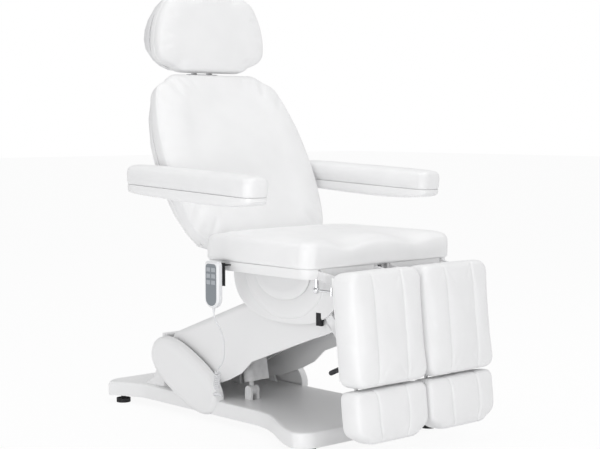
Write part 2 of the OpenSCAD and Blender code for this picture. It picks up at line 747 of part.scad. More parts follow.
tilt_eye_top_r = tilt_pin_top_r + tilt_play + wall_t;
module tilt_axis() { translate([0, tilt_low.x, tilt_low.y]) children(); }
tilt_len = tilt_high.y - tilt_low.y;
module tilt_motor() {
  dark() difference() {
    union() {
      x_rod(tilt_low, tilt_eye_r, -tilt_eye_w / 2, tilt_eye_w / 2);
      tilt_axis() translate([0, 0, tilt_tube_r + over])
        cylinder(r = tilt_body_r, h = tilt_body_end - tilt_tube_r - over);
    }
    x_rod(tilt_low, tilt_rod_r + pivot_gap, -tilt_eye_w, tilt_eye_w);
    tilt_axis() translate([0, 0, tilt_eye_r]) cylinder(r = tilt_rod_r + slip, h = tilt_body_end);
  }
}
module tilt_rod() {
  bright() difference() {
    union() {
      tilt_axis() translate([0, 0, tilt_eye_r + over])
        cylinder(r = tilt_rod_r, h = tilt_len - tilt_eye_r - tilt_pin_top_r - tilt_play - over);
      x_rod(tilt_high, tilt_eye_top_r, -tilt_rod_r, tilt_rod_r);
    }
    x_rod(tilt_high, tilt_pin_top_r + tilt_play, -tilt_eye_w, tilt_eye_w);
  }
}

// Half-moon covers beside the carriage, stepped outward; discs of the seat over them
moon_mid_y = -15;
moon_top = seat_z - pan_deep - wall_t;
moon_mid = [moon_mid_y, moon_top];
bowl_half = 251;
bowl_deep = 160;
ring_r = 163;
ring_deep = 122;
disc_r = 110;
disc_deep = 66;
bowl_t = 12;
ring_t = 9;
disc_t = 8;
moon_x = carriage_out + slip;
moon_steps = 28;
// A half-moon below a level edge: half width, depth, power of its outline
function moon(half, deep, power) = [for (k = [0:moon_steps]) let (a = 180 + 180 * k / moon_steps)
  [half * sign(cos(a)) * pow(abs(cos(a)), power), -deep * pow(abs(sin(a)), power)]];
bowl_power = 0.8;
moon_edge = 6;
module moon_plate(half, deep, power, x0, t, top) {
  ring = moon(half, deep, power);
  small = moon(half - moon_edge, deep - moon_edge, power);
  multmatrix([[0, 0, 1, x0], [1, 0, 0, moon_mid.x], [0, 1, 0, top], [0, 0, 0, 1]])
    loft([lifted(small, t), lifted(ring, t - moon_edge / 2), lifted(ring, 0)]);
}
module moon_pair() {
  difference() {
    union() {
      moon_plate(bowl_half, bowl_deep, bowl_power, moon_x, bowl_t, moon_mid.y);
      moon_plate(ring_r, ring_deep, 1, moon_x + bowl_t - moon_edge / 2, ring_t, moon_mid.y);
    }
    moon_plate(bowl_half - 2 * wall_t, bowl_deep - 2 * wall_t, bowl_power,
      moon_x + wall_t - bowl_t, bowl_t, moon_mid.y - 2 * wall_t);
    x_rod(upper_pivot, shaft_r + slip, moon_x - over, moon_x + wall_t / 2);
    across(moon_x - over, moon_x + bowl_t + over) stop_2d(slip);
  }
}
module carriage_covers() {
  white() both() moon_pair();
}
module bump_stops() {
  black() both() across(moon_x, moon_x + bowl_t) stop_2d(0);
}
module stop_2d(gap) {
  translate(upper_pivot - [stop_ahead + gap, stop_below + gap]) square([stop_w + 2 * gap, stop_h + 2 * gap]);
}
stop_ahead = 153;
stop_below = 54;
stop_w = 22;
stop_h = 40;

// Seat
frame_top = seat_z - side_gap;
rail_h = 22;
seat_rail_w = 24;
seat_rail_x = arm_half - 25;
beam_d = 14;
deck_t = 5;
seat_beam_ys = [-0.895 * seat_front, -0.6 * seat_front, 0.62 * seat_rear];
leg_bracket_xs = [28, 264];
leg_shaft_r = 8;
leg_tube_r = 12;
leg_lug_r = 14;
back_lug_r = 18;
back_pin_r = 8;
pan_in = 8;
frame_in = pan_in + 2 * wall_t;
pan_front = seat_front - pan_in;
pan_rear = seat_rear - pan_in;
pan_half = seat_w / 2 - pan_in;
pan_corner = 42;
seat_mid_y = (seat_rear - seat_front) / 2;
module seat_frame() {
  dark() difference() {
    union() {
      both() {
        translate([seat_rail_x, -pan_front + frame_in, frame_top - rail_h])
          cube([seat_rail_w, pan_front + pan_rear - 2 * frame_in, rail_h]);
        across(seat_lug_in, seat_lug_out) {
          link_2d(tilt_pivot, [tilt_pivot.x, frame_top - tilt_lug_r], 2 * tilt_lug_r - over);
          link_2d([pan_rear - 2 * back_lug_r, frame_top - rail_h / 2], back_pivot, 0.8 * rail_h);
          translate(back_pivot) circle(r = back_lug_r);
        }
        for (x = leg_bracket_xs) across(x, x + plate_t)
          link_2d([-pan_front + frame_in, frame_top - leg_lug_r], leg_pivot, 2 * leg_lug_r);
        x_rod(leg_pivot, leg_shaft_r, leg_bracket_xs[0], leg_bracket_xs[1] + plate_t);
      }
      translate([frame_in - pan_half, -pan_front + frame_in, frame_top - deck_t])
        cube([2 * (pan_half - frame_in), pan_front + pan_rear - 2 * frame_in, deck_t]);
      for (y = seat_beam_ys) translate([pan_corner - pan_half, y - beam_d / 2, frame_top - rail_h])
        cube([2 * (pan_half - pan_corner), beam_d, rail_h]);
      ear_pair(0, back_drive_w + 2 * slip, plate_t)
        link_2d(drive_front, [drive_front.x, frame_top - rail_h / 2], 2 * drive_eye_r);
      x_rod(drive_front, drive_pin_r, -back_drive_w / 2 - plate_t, back_drive_w / 2 + plate_t);
      ear_pair(0, 2 * tilt_rod_r + 2 * slip, plate_t)
        link_2d(tilt_high, [seat_beam_ys[0], frame_top - rail_h / 2], 2 * tilt_pin_top_r + 2 * wall_t);
      x_rod(tilt_high, tilt_pin_top_r, -tilt_rod_r - plate_t, tilt_rod_r + plate_t);
    }
    both() {
      x_rod(tilt_pivot, tilt_pin_r + pivot_gap, seat_lug_in - over, seat_lug_out + over);
      x_rod(back_pivot, back_pin_r + pivot_gap, seat_lug_in - over, seat_lug_out + over);
    }
    // Room round the tilt rod's eye
    difference() {
      x_rod(tilt_high, tilt_eye_top_r + 2 * over, -tilt_rod_r - slip, tilt_rod_r + slip);
      x_rod(tilt_high, tilt_pin_top_r, -tilt_eye_w, tilt_eye_w);
    }
  }
}
module seat_pan() {
  rings = rounded(pan_half, (pan_front + pan_rear) / 2, pan_corner, 5);
  at = [0, seat_mid_y];
  white() difference() {
    loft([
      lifted(moved(rings, at), seat_z - slip),
      lifted(moved(rings, at), seat_z - pan_deep / 2),
      lifted(moved(drawn_in(rings, pan_in), at), seat_z - pan_deep)]);
    loft([
      lifted(moved(drawn_in(rings, wall_t), at), seat_z + over),
      lifted(moved(drawn_in(rings, wall_t), at), seat_z - pan_deep / 2),
      lifted(moved(drawn_in(rings, pan_in + wall_t), at), frame_top - rail_h)]);
    translate([-pan_half + pan_ledge, -pan_front + pan_ledge, seat_z - 2 * pan_deep])
      cube([2 * (pan_half - pan_ledge), pan_front + pan_rear - 2 * pan_ledge, 2 * pan_deep]);
    // Notches for the leg brackets and the back's lugs
    both() {
      for (x = leg_bracket_xs)
        translate([x - slip, -pan_front - over, leg_pivot.y - leg_lug_r - slip])
          cube([plate_t + 2 * slip, 2 * pan_ledge, frame_top - leg_pivot.y + leg_lug_r + 2 * slip]);
      translate([seat_lug_in - slip, pan_rear - 2 * pan_ledge, seat_z - pan_deep - over])
        cube([plate_t + 2 * slip, 3 * pan_ledge, 2 * rail_h]);
    }
    translate([-tilt_eye_w, -pan_front - over, seat_z - pan_deep - over])
      cube([2 * tilt_eye_w, 2 * pan_ledge, pan_deep - slip]);
  }
}
pan_ledge = 26;

seat_corner = 58;
seat_us = [-1, -0.92, -0.78, -0.62, -0.46, -0.3, -0.14, 0, 0.14, 0.3, 0.46, 0.62, 0.78, 0.92, 1];
seat_vs = [-1, -0.9, -0.76, -0.58, -0.38, -0.14, 0.14, 0.42, 0.7, 0.9, 1];
trough_u_share = 0.46;
seat_waist = 4;
seat_edge = 26;
module seat_cushion() {
  // Two troughs for the thighs run in from the front edge and fade to the rear
  dip = function (u, v) trough_deep * smooth((0.35 - v) / 1.2)
    * exp(-pow((abs(u) - trough_u_share) / 0.24, 2) * 1.3);
  top = function (u, v) seat_thick + seat_crown * (1 - pow(u, 4)) * (1 - pow(v, 6)) - dip(u, v);
  padded() translate([0, seat_mid_y, seat_z])
    cushion(seat_us, seat_vs, pad_plan(seat_w / 2, (seat_front + seat_rear) / 2, seat_corner, seat_waist),
      top, seat_edge);
}
module seat_discs() {
  x0 = moon_x + bowl_t + ring_t - moon_edge / 2 + slip;
  white() both() {
    moon_plate(disc_r, disc_deep, 1, x0, disc_t, moon_mid.y);
    translate([x0, moon_mid.x - disc_r / 2, moon_mid.y - over])
      cube([disc_t / 2, disc_r, frame_top - deck_t - moon_mid.y + over]);
  }
}

// Back actuator, nearly level under the seat
drive_front_share = 0.6;
drive_below = 51;
drive_front = [-drive_front_share * seat_front, seat_z - drive_below];
lever_r = 50;
lever_angle = 24; // the back's lever at rest, from straight down
drive_rear = back_pivot + lever_r * [sin(lever_angle), -cos(lever_angle)];
back_drive_w = 20;
drive_eye_r = 13;
drive_pin_r = 5;
drive_body_r = 16;
drive_rod_r = 7;
drive_play = 8;
drive_body_end = 330;
drive_rod_in = 120;
drive_bore = 68;
drive_len = norm(drive_rear - drive_front);
module drive_axis() {
  d = drive_rear - drive_front;
  translate([0, drive_front.x, drive_front.y]) rotate([-atan2(d.x, d.y), 0, 0]) children();
}
module back_motor() {
  dark() difference() {
    union() {
      x_rod(drive_front, drive_eye_r, -back_drive_w / 2, back_drive_w / 2);
      drive_axis() cylinder(r = drive_body_r, h = drive_body_end);
    }
    ear_room(drive_front, drive_eye_r, back_drive_w, drive_body_r);
    x_rod(drive_front, drive_pin_r + pivot_gap, -back_drive_w, back_drive_w);
    drive_axis() translate([0, 0, drive_bore])
      cylinder(r = drive_rod_r + slip, h = drive_body_end);
  }
}
// Trims a tube so that its eye end fits between two ears
module ear_room(at, r, w, tube) {
  both() translate([w / 2, at.x - 2 * r, at.y - 2 * r]) cube([tube, 4 * r, 4 * r]);
}
drive_eye_out = 18;
module back_rod() {
  bright() difference() {
    union() {
      drive_axis() translate([0, 0, drive_rod_in])
        cylinder(r = drive_rod_r, h = drive_len - drive_rod_in - drive_pin_r - drive_play - over);
      x_rod(drive_rear, drive_eye_out, -drive_rod_r - over, drive_rod_r + over);
    }
    x_rod(drive_rear, drive_pin_r + drive_play, -back_drive_w, back_drive_w);
  }
}

// Back, drawn along +Y from its pivot with its face to +Z
back_face = 33; // cushion's face ahead of the pivot
back_from = 26; // cushion's lower end above the pivot
back_frame_z = -40;
back_tube_r = 10;
back_tube_x = arm_half + 10;
back_hub_in = seat_lug_out + slip;
back_frame_len = 560;
arm_pivot_up = 275;
arm_pin_r = 6;
post_x = 60;
post_r = 7;
socket_len = 200;
socket_r = 10.5;
back_low = back_face - back_thick; // underside of the cushion
shell_low = back_low - slip - back_shell_deep;
module back_frame() {
  dark() on_back() difference() {
    union() {
      both() {
        // Hub arm from the pivot back to the side tube
        translate([back_hub_in, 0, 0]) x_pin(back_lug_r - 2, plate_t);
        hull_arm();
        translate([back_tube_x, back_from + 2 * back_tube_r, back_frame_z])
          y_pin(back_tube_r, back_frame_len);
        translate([seat_lug_in - plate_t, 0, 0])
          x_pin(back_pin_r, back_hub_in - seat_lug_in + 1.5 * plate_t);
        translate([back_tube_x, arm_pivot_up, back_frame_z])
          x_pin(arm_pin_r, armrest_x + armrest_w / 2 - wall_t - pin_short - back_tube_x);
        translate([post_x, back_from + back_len - socket_len - back_top_in, back_frame_z])
          y_pin(socket_r, socket_len);
      }
      translate([-back_board_half, back_from + back_board_in, back_low - slip - deck_t])
        cube([2 * back_board_half, back_len - 3 * back_board_in, deck_t]);
      lever_arms();
    }
    both() translate([post_x, 0, back_frame_z]) y_pin(post_r + pivot_gap, 2 * back_len);
  }
}
pin_short = 6;
back_top_in = 30;
back_board_half = 228;
hub_arm_r = 11;
back_board_in = 30;
module hull_arm() {
  across(back_hub_in, back_hub_in + plate_t) {
    link_2d([0, 0], [0, back_frame_z], 2 * hub_arm_r);
    bar_2d([0, back_frame_z], [back_from + 3 * back_tube_r, back_frame_z], 2 * hub_arm_r);
  }
  translate([back_hub_in, back_from + 2 * back_tube_r, back_frame_z - back_tube_r / 2])
    cube([back_tube_x - back_hub_in, 2 * back_tube_r, back_tube_r]);
}
// The lever that the actuator pushes: a cross tube at the pivot with two ears
back_hub_r = 10;
drive_lever_w = 22;
module lever_arms() {
  ear_gap = 2 * (drive_rod_r + over + slip);
  up = lever_angle + back_lean;
  tip = lever_r * [-cos(up), -sin(up)];
  across(-seat_lug_in + over, seat_lug_in - over) circle(r = back_hub_r);
  ear_pair(0, ear_gap, plate_t) link_2d([0, 0], tip, drive_lever_w);
  across(-ear_gap / 2 - plate_t, ear_gap / 2 + plate_t) translate(tip) circle(r = drive_pin_r);
}
// Outline of the back: half width over its length, as shares of the largest half width
back_width_shares = [[-1, 0.83], [-0.7, 0.93], [-0.35, 0.99], [-0.05, 1], [0.3, 0.975], [0.6, 0.91],
  [0.85, 0.82], [1, 0.72]];
function shaped_plan(half_x, half_y, corner, table) =
  function (u, v, inset)
    let (cx = corner_share * corner / half_x, cy = corner_share * corner / half_y)
      [(half_x * lookup(v, table) - inset) * u * (1 - cx * pow(abs(v), corner_power)),
       (half_y - inset) * v * (1 - cy * pow(abs(u), corner_power))];
back_corner = 80;
back_us = [-1, -0.9, -0.78, -0.68, -0.5, -0.25, 0, 0.25, 0.5, 0.68, 0.78, 0.9, 1];
back_vs = [-1, -0.9, -0.75, -0.5, -0.25, 0, 0.25, 0.5, 0.72, 0.88, 1];
bolster_h = 8;
bolster_share = 0.8;
back_edge = 24;
module back_cushion() {
  // Raised side bolsters beside a shallow middle
  top = function (u, v)
    back_thick + bolster_h * exp(-pow((abs(u) - bolster_share) / 0.16, 2)) * (1 - pow(v, 8))
    - 3 * (1 - u * u) * (1 - v * v);
  padded() on_back()
    translate([0, back_from + back_len / 2, back_low])
      cushion(back_us, back_vs, shaped_plan(back_w / 2, back_len / 2, back_corner, back_width_shares),
        top, back_edge);
}
// Ring of a plan's outer loop, as flat points
function plan_ring(plan, us, vs, inset) = [for (q = edge_loop(us, vs)) plan(q.x, q.y, inset)];
shell_vs = [-1, -0.85, -0.6, -0.3, 0, 0.3, 0.6, 0.85, 1];
shell_us = [-1, -0.8, -0.4, 0.4, 0.8, 1];
module tray(plan, us, vs, deep, edge, wall) {
  difference() {
    loft([lifted(plan_ring(plan, us, vs, 0), deep), lifted(plan_ring(plan, us, vs, 0), 0.6 * deep),
      lifted(plan_ring(plan, us, vs, edge), 0)]);
    loft([lifted(plan_ring(plan, us, vs, wall), deep + over),
      lifted(plan_ring(plan, us, vs, wall), 0.6 * deep),
      lifted(plan_ring(plan, us, vs, edge + wall), wall)]);
  }
}
module back_shell() {
  plan = shaped_plan(back_w / 2 - 2, back_len / 2 - 2, back_corner, back_width_shares);
  white() on_back() difference() {
    translate([0, back_from + back_len / 2, shell_low])
      tray(plan, shell_us, shell_vs, back_shell_deep, 3 * wall_t, wall_t);
    both() {
      translate([post_x, back_from + back_len / 2, back_frame_z]) y_pin(post_r + slip, back_len);
      translate([back_tube_x, arm_pivot_up, back_frame_z]) x_pin(arm_pin_r + slip, back_w / 2);
      // Room where the hub arms come in at the lower end
      translate([back_hub_in - over, 0, shell_low - over])
        cube([plate_t + 2 * over, back_from + 3 * back_tube_r, back_shell_deep + 2 * over]);
    }
  }
}

// Head cushion on two posts; its pin lies in line with the posts
head_pin_up = 24; // above the back's upper end
head_pin_at = lean_point(back_pivot, back_lean, back_from + back_len + head_pin_up, back_frame_z);
head_post_len = 270;
head_from = 9;
head_face = 84;
head_lug_x = 30;
head_lug_r = 13;
module head_posts() {
  bright() {
    on_back() both()
      translate([post_x, back_from + back_len + head_pin_up - head_post_len, back_frame_z])
        y_pin(post_r, head_post_len);
    x_rod(head_pin_at, post_r, -post_x - post_r, post_x + post_r);
  }
}
head_width_shares = [[-1, 0.8], [-0.75, 0.95], [-0.45, 1], [-0.1, 0.99], [0.25, 0.93], [0.6, 0.8],
  [0.85, 0.66], [1, 0.52]];
head_corner = 60;
head_us = [-1, -0.86, -0.65, -0.4, -0.14, 0.14, 0.4, 0.65, 0.86, 1];
head_vs = [-1, -0.88, -0.68, -0.4, -0.1, 0.2, 0.5, 0.75, 0.9, 1];
head_edge = 26;
head_crown = 6;
head_groove = 4;
module head_cushion() {
  top = function (u, v) head_thick - head_crown + head_crown * (1 - pow(u, 4)) * (1 - pow(v, 4));
  padded() on_head()
    translate([0, head_from + head_len / 2, head_face - head_thick])
      cushion(head_us, head_vs, shaped_plan(head_w / 2, head_len / 2, head_corner, head_width_shares),
        top, head_edge);
}
module head_shell() {
  low = head_face - head_thick - head_groove - head_shell_deep;
  plan = shaped_plan(head_w / 2 - 2, head_len / 2 - 6, head_corner, head_width_shares);
  white() on_head() difference() {
    union() {
      translate([0, head_from + head_len / 2, low]) {
        tray(plan, shell_us, shell_vs, head_shell_deep, 4 * wall_t, wall_t);
        // The back board that the cushion is fastened to
        translate([0, 0, head_shell_deep - wall_t]) {
          board(plan, wall_t / 2, wall_t);
          board(plan, 3 * wall_t, wall_t + head_groove - slip);
        }
      }
      both() translate([head_lug_x, 0, 0]) {
        x_pin(head_lug_r, plate_t);
        translate([0, 0, -head_lug_r]) cube([plate_t, head_from + 2 * wall_t, 1.3 * head_lug_r]);
      }
    }
    both() {
      translate([head_lug_x - over, 0, 0]) x_pin(post_r + pivot_gap, plate_t + 2 * over);
      // Room for the posts' heads as the cushion tilts
      translate([post_x - post_r - over, -head_from, -3 * post_r])
        cube([2 * post_r + 2 * over, head_from + 3 * post_r, 6 * post_r]);
    }
  }
}
module board(plan, inset, t) {
  loft([lifted(plan_ring(plan, shell_us, shell_vs, inset), t),
    lifted(plan_ring(plan, shell_us, shell_vs, inset), 0)]);
}

// Armrests turn on the pins at the back's sides
armrest_pin_at = lean_point(back_pivot, back_lean, arm_pivot_up, back_frame_z);
armrest_rear = 62; // reach behind the pin
armrest_dip = 2.2; // nose-down angle
armrest_pin_low = 6; // pad's underside over the pin
armrest_round = 34;
armrest_mid = armrest_rear - armrest_len / 2;
// The shell along the armrest, from the nose back, as [place, share of its depth]
armrest_deep_shares = [[-1, 0.2], [-0.86, 0.45], [-0.6, 0.8], [-0.25, 1], [0.2, 0.92], [0.6, 0.86],
  [0.9, 0.7], [1, 0.4]];
module armrest_place(side) {
  translate([side * armrest_x, armrest_pin_at.x, armrest_pin_at.y]) rotate([armrest_dip, 0, 0]) children();
}
shell_in = 3;
module armrest_shell(side) {
  white() armrest_place(side) difference() {
    translate([0, armrest_mid, armrest_pin_low]) armrest_tub(0, 0);
    difference() {
      translate([0, armrest_mid, armrest_pin_low]) armrest_tub(wall_t, over);
      translate([-armrest_w, 0, 0]) x_pin(arm_pin_r + wall_t, 2 * armrest_w);
      translate([-armrest_w, -arm_pin_r - wall_t, 0])
        cube([2 * armrest_w, 2 * (arm_pin_r + wall_t), armrest_pin_low - slip]);
    }
    translate([-side * armrest_w, 0, 0]) rotate([0, side * 90, 0])
      cylinder(r = arm_pin_r + pivot_gap, h = armrest_w * 1.5 - wall_t - pin_short / 2);
    pad_room();
  }
}
module pad_room() {
  translate([-armrest_w, -armrest_len, armrest_pin_low])
    cube([2 * armrest_w, 2 * armrest_len, armrest_pad_thick]);
}
// Shell of an armrest hanging below z = 0, its cross-sections along y
module armrest_tub(in, up) {
  half = armrest_w / 2 - shell_in - in;
  rings = [for (q = armrest_deep_shares)
    let (deep = armrest_shell_deep * q.y - in, y = q.x * (armrest_len / 2 - shell_in - in),
       w = half * (1 - 0.3 * pow(abs(q.x), 8)))
    [for (p = [[w, up], [-w, up], [-w, -0.35 * deep], [-0.72 * w, -0.85 * deep], [-0.3 * w, -deep],
      [0.3 * w, -deep], [0.72 * w, -0.85 * deep], [w, -0.35 * deep]]) [p.x, y, p.y]]];
  loft(rings);
}
pad_us = [-1, -0.6, 0, 0.6, 1];
pad_vs = [-1, -0.94, -0.8, -0.55, -0.25, 0.1, 0.45, 0.75, 0.93, 1];
armrest_edge = 18;
module armrest_pad(side) {
  top = function (u, v) armrest_pad_thick - 5 + 5 * (1 - u * u);
  padded() armrest_place(side) translate([0, armrest_mid, armrest_pin_low + slip])
    cushion(pad_us, pad_vs, pad_plan(armrest_w / 2, armrest_len / 2, armrest_round, 0), top, armrest_edge);
}

// Leg rests, drawn along +Y with the face to +Z and the hinge axis at the origin
leg_x = leg_w / 2 + 3;
board_t = 12;
calf_up = 22; // calf cushion's upper end above the hinge
calf_low = calf_front_reach - calf_thick;
board_low = calf_low - slip - board_t;
spread_x = 200;
spread_down = 55;
spread_r = 10;
spread_boss_r = 24;
yoke_t = 8;
rod_dx = 62;
rod_r = 6;
guide_r = 9;
guide_z = board_low - guide_r + over;
guide_from = 150;
guide_len = 160;
foot_gap = 20;
foot_face = 12; // foot cushion's face behind the calf cushion's
foot_top = calf_up - calf_len - foot_gap;
foot_low = calf_front_reach - foot_face - foot_thick;
board_in = 16;
module leg_place(side) { on_leg() translate([side * leg_x, 0, 0]) children(); }
module sided(side) { mirror([side < 0 ? 1 : 0, 0, 0]) children(); }
yoke_from = leg_bracket_xs[0] + plate_t + 2;
yoke_to = leg_bracket_xs[1] - 2;
module leg_yoke(side) {
  steel() on_leg() difference() {
    sided(side) {
      translate([yoke_from, 0, 0]) x_pin(leg_tube_r, yoke_to - yoke_from);
      translate([spread_x - spread_boss_r - yoke_t, -spread_down - spread_boss_r, -yoke_t / 2])
        cube([2 * (spread_boss_r + yoke_t), spread_down + spread_boss_r, yoke_t]);
      translate([spread_x, -spread_down, 0]) {
        cylinder(r = spread_boss_r, h = board_low - slip);
        cylinder(r = spread_r, h = board_low + board_t - slip);
      }
    }
    translate([-seat_w, 0, 0]) x_pin(leg_shaft_r + pivot_gap, 2 * seat_w);
  }
}
module calf_board(side) {
  dark() on_leg() sided(side) difference() {
    union() {
      translate([leg_x - leg_w / 2 + board_in, calf_up - calf_len + board_in, board_low])
        cube([leg_w - 2 * board_in, calf_len - 2 * board_in, board_t]);
      for (dx = [-rod_dx, rod_dx]) translate([leg_x + dx, -guide_from, guide_z]) rotate([90, 0, 0])
        cylinder(r = guide_r, h = guide_len);
      for (x = [lever_x - lever_w / 2 - plate_t, lever_x + lever_w / 2])
        translate([x, lever_pivot_y - lever_ear, lever_pivot_z - lever_ear])
          cube([plate_t, 2 * lever_ear, board_low - lever_pivot_z + lever_ear + over]);
      translate([lever_x - lever_w / 2 - plate_t, lever_pivot_y, lever_pivot_z])
        x_pin(lever_pin_r, lever_w + 2 * plate_t);
    }
    translate([spread_x, -spread_down, board_low - over])
      cylinder(r = spread_r + pivot_gap, h = board_t + 2 * over);
    for (dx = [-rod_dx, rod_dx]) translate([leg_x + dx, 0, guide_z]) rotate([90, 0, 0])
      cylinder(r = rod_r + pivot_gap, h = 2 * calf_len);
  }
}
lever_x = 246;
lever_w = 12;
lever_ear = 7;
lever_pin_r = 3;
lever_pivot_y = -258;
lever_pivot_z = 2;
lever_len = 62;
grip_r = 7.5;
grip_len = 50;
grip_droop = 18;
module leg_lever(side) {
  black() on_leg() sided(side) difference() {
    translate([lever_x, lever_pivot_y, lever_pivot_z]) {
      translate([-lever_w / 2 + slip, 0, 0]) x_pin(lever_ear, lever_w - 2 * slip);
      rotate([180 - grip_droop, 0, 0]) {
        cylinder(r = lever_w / 2 - over, h = lever_len);
        translate([0, 0, lever_len - grip_len]) cylinder(r = grip_r, h = grip_len);
        translate([0, 0, lever_len]) sphere(r = grip_r);
      }
    }
    translate([0, lever_pivot_y, lever_pivot_z]) x_pin(lever_pin_r + pivot_gap, seat_w);
  }
}
// Sewn seams: where they run across the cushion, as shares of its half width
calf_seam_shares = [-0.5, 0.42];
leg_us = [-1, -0.9, -0.72, -0.54, -0.5, -0.46, -0.2, 0.1, 0.38, 0.42, 0.46, 0.72, 0.9, 1];
leg_vs = [-1, -0.9, -0.72, -0.4, 0, 0.4, 0.72, 0.9, 1];
foot_vs = [-1, -0.85, -0.6, -0.2, 0.3, 0.7, 1];
seam_deep = 4;
leg_corner = 44;
leg_edge = 24;
leg_crown = 7;
function seam_dip(u, seams) = seam_deep * max([for (s = seams) abs(u - s) < 0.01 ? 1 : 0]);
module calf_cushion(side) {
  top = function (u, v)
    calf_thick - leg_crown + leg_crown * (1 - pow(u, 4)) * (1 - pow(v, 6)) - seam_dip(u, calf_seam_shares);
  padded() leg_place(side) translate([0, calf_up - calf_len / 2, calf_low])
    sided(-side)
      cushion(leg_us, leg_vs, pad_plan(leg_w / 2, calf_len / 2, leg_corner, 2), top, leg_edge);
}
foot_width_shares = [[-1, 0.86], [-0.6, 0.97], [-0.2, 1], [1, 1]];
foot_corner = 50;
module foot_cushion(side) {
  top = function (u, v)
    foot_thick - leg_crown + leg_crown * (1 - pow(u, 4)) * (1 - pow(v, 4)) - seam_dip(u, calf_seam_shares);
  padded() leg_place(side) translate([0, foot_top - foot_len / 2, foot_low])
    sided(-side)
      cushion(leg_us, foot_vs, shaped_plan(leg_w / 2, foot_len / 2, foot_corner, foot_width_shares),
        top, leg_edge);
}
rod_top = -95;
foot_board_t = 10;
module foot_board(side) {
  rod_end = foot_top - foot_len + 3 * board_in;
  steel() leg_place(side) {
    translate([-leg_w / 2 + 2 * board_in, foot_top - foot_len + 2 * board_in,
      foot_low - slip - foot_board_t])
      cube([leg_w - 4 * board_in, foot_len - 3 * board_in, foot_board_t]);
    for (dx = [-rod_dx, rod_dx]) {
      translate([dx, rod_top, guide_z]) rotate([90, 0, 0]) cylinder(r = rod_r, h = rod_top - rod_end);
      translate([dx - rod_r, rod_end, guide_z])
        cube([2 * rod_r, 2 * board_in, foot_low - slip - over - guide_z]);
    }
  }
}

// Clamps under the pan for the leg rests, each with a T-screw
clamp_x = pan_half - 70;
clamp_y = -226;
clamp_low = 36;
clamp_r = 7;
clamp_ball_r = 11;
clamp_screw_r = 3.5;
clamp_screw_len = 64;
tee_len = 26;
clamp_z = seat_z - pan_deep - clamp_low;
module leg_clamps() {
  bright() both() difference() {
    union() {
      translate([clamp_x, clamp_y, clamp_z]) cylinder(r = clamp_r, h = frame_top - deck_t - clamp_z);
      translate([clamp_x, clamp_y, clamp_z]) sphere(r = clamp_ball_r);
    }
    translate([clamp_x, clamp_y, clamp_z]) rotate([90, 0, 0])
      cylinder(r = clamp_screw_r + pivot_gap, h = clamp_ball_r + over);
  }
}
module clamp_screw(side) {
  bright() translate([side * clamp_x, clamp_y, clamp_z]) rotate([90, 0, 0]) {
    translate([0, 0, over]) cylinder(r = clamp_screw_r, h = clamp_screw_len);
    translate([0, -tee_len / 2, clamp_screw_len]) y_pin(clamp_screw_r, tee_len);
  }
}

// Hand control on its hook at the seat's right side
handset_x = -pan_half - 49;
handset_y = 130;
handset_top = 564;
handset_round = 30;
handset_edge = 5;
hook_t = 3;
hook_w = 44;
hook_h = 72;
hook_top = seat_z - side_gap;
handset_back = handset_x + handset_t;
module handset_place() {
  // Local x across the face, local y up, local z out of the face to -X
  multmatrix([[0, 0, -1, handset_back], [-1, 0, 0, handset_y],
    [0, 1, 0, handset_top - handset_len / 2], [0, 0, 0, 1]])
    children();
}
handset_steps = 4;
handset_top_r = 12;
function handset_ring(in) = concat(
  [for (k = [0:8]) let (a = 180 + 180 * k / 8)
    [(handset_w / 2 - in) * cos(a), -handset_len / 2 + handset_round + (handset_round - in) * sin(a)]],
  [for (c = [[1, 0], [-1, 90]]) for (k = [0:handset_steps])
    let (a = c.y + 90 * k / handset_steps)
      [c.x * (handset_w / 2 - in - handset_top_r) + handset_top_r * cos(a),
        handset_len / 2 - in - handset_top_r + handset_top_r * sin(a)]]);
keypad_t = 1.2;
keypad_in = 8;
key_rows = 3;
key_w = 18;
key_h = 13;
key_pitch_x = 24;
key_pitch_y = 20;
key_top_in = 26;
key_rise = 1;
key_travel = 0.6;
key_pocket = 4;
module handset_case() {
  white() difference() {
    handset_place() {
      difference() {
        loft([lifted(handset_ring(handset_edge), handset_t),
          lifted(handset_ring(0), handset_t - handset_edge),
          lifted(handset_ring(0), handset_edge), lifted(handset_ring(handset_edge), 0)]);
        // Seat of the keypad
        translate([0, 0, handset_t - keypad_t]) linear_extrude(2 * keypad_t)
          polygon(handset_ring(keypad_in - slip));
        key_holes(slip, handset_t - key_pocket, key_pocket + over);
      }
      translate([0, -handset_len / 2 - relief_len, handset_t / 2]) rotate([-90, 0, 0])
        cylinder(r1 = cord_d / 2 + 1, r2 = relief_r, h = relief_len + 2, $fn = 24);
    }
    translate([handset_x + handset_t / 2, handset_y, handset_top - handset_len - relief_len - over])
      cylinder(r = cord_d / 2 + slip, h = over + slip, $fn = 24);
  }
}
relief_len = 14;
relief_r = 5.5;
module key_holes(gap, z, h) {
  for (row = [0:key_rows - 1]) for (col = [0, 1])
    translate([(col - 0.5) * key_pitch_x - key_w / 2 - gap,
      handset_len / 2 - key_top_in - row * key_pitch_y - key_h / 2 - gap, z])
      cube([key_w + 2 * gap, key_h + 2 * gap, h]);
}
module keypad() {
  color([0.45, 0.47, 0.49]) in_frame() handset_place() difference() {
    translate([0, 0, handset_t - keypad_t]) linear_extrude(keypad_t)
      polygon(handset_ring(keypad_in));
    key_holes(slip, handset_t - 2 * keypad_t, 4 * keypad_t);
  }
}
module key_cap(index) {
  row = floor((index - 1) / 2);
  col = (index - 1) % 2;
  color([0.62, 0.64, 0.66]) in_frame() handset_place()
    translate([(col - 0.5) * key_pitch_x - key_w / 2,
      handset_len / 2 - key_top_in - row * key_pitch_y - key_h / 2,
      handset_t - key_pocket + key_travel + slip])
      cube([key_w, key_h, key_pocket - key_travel - slip + key_rise]);
}
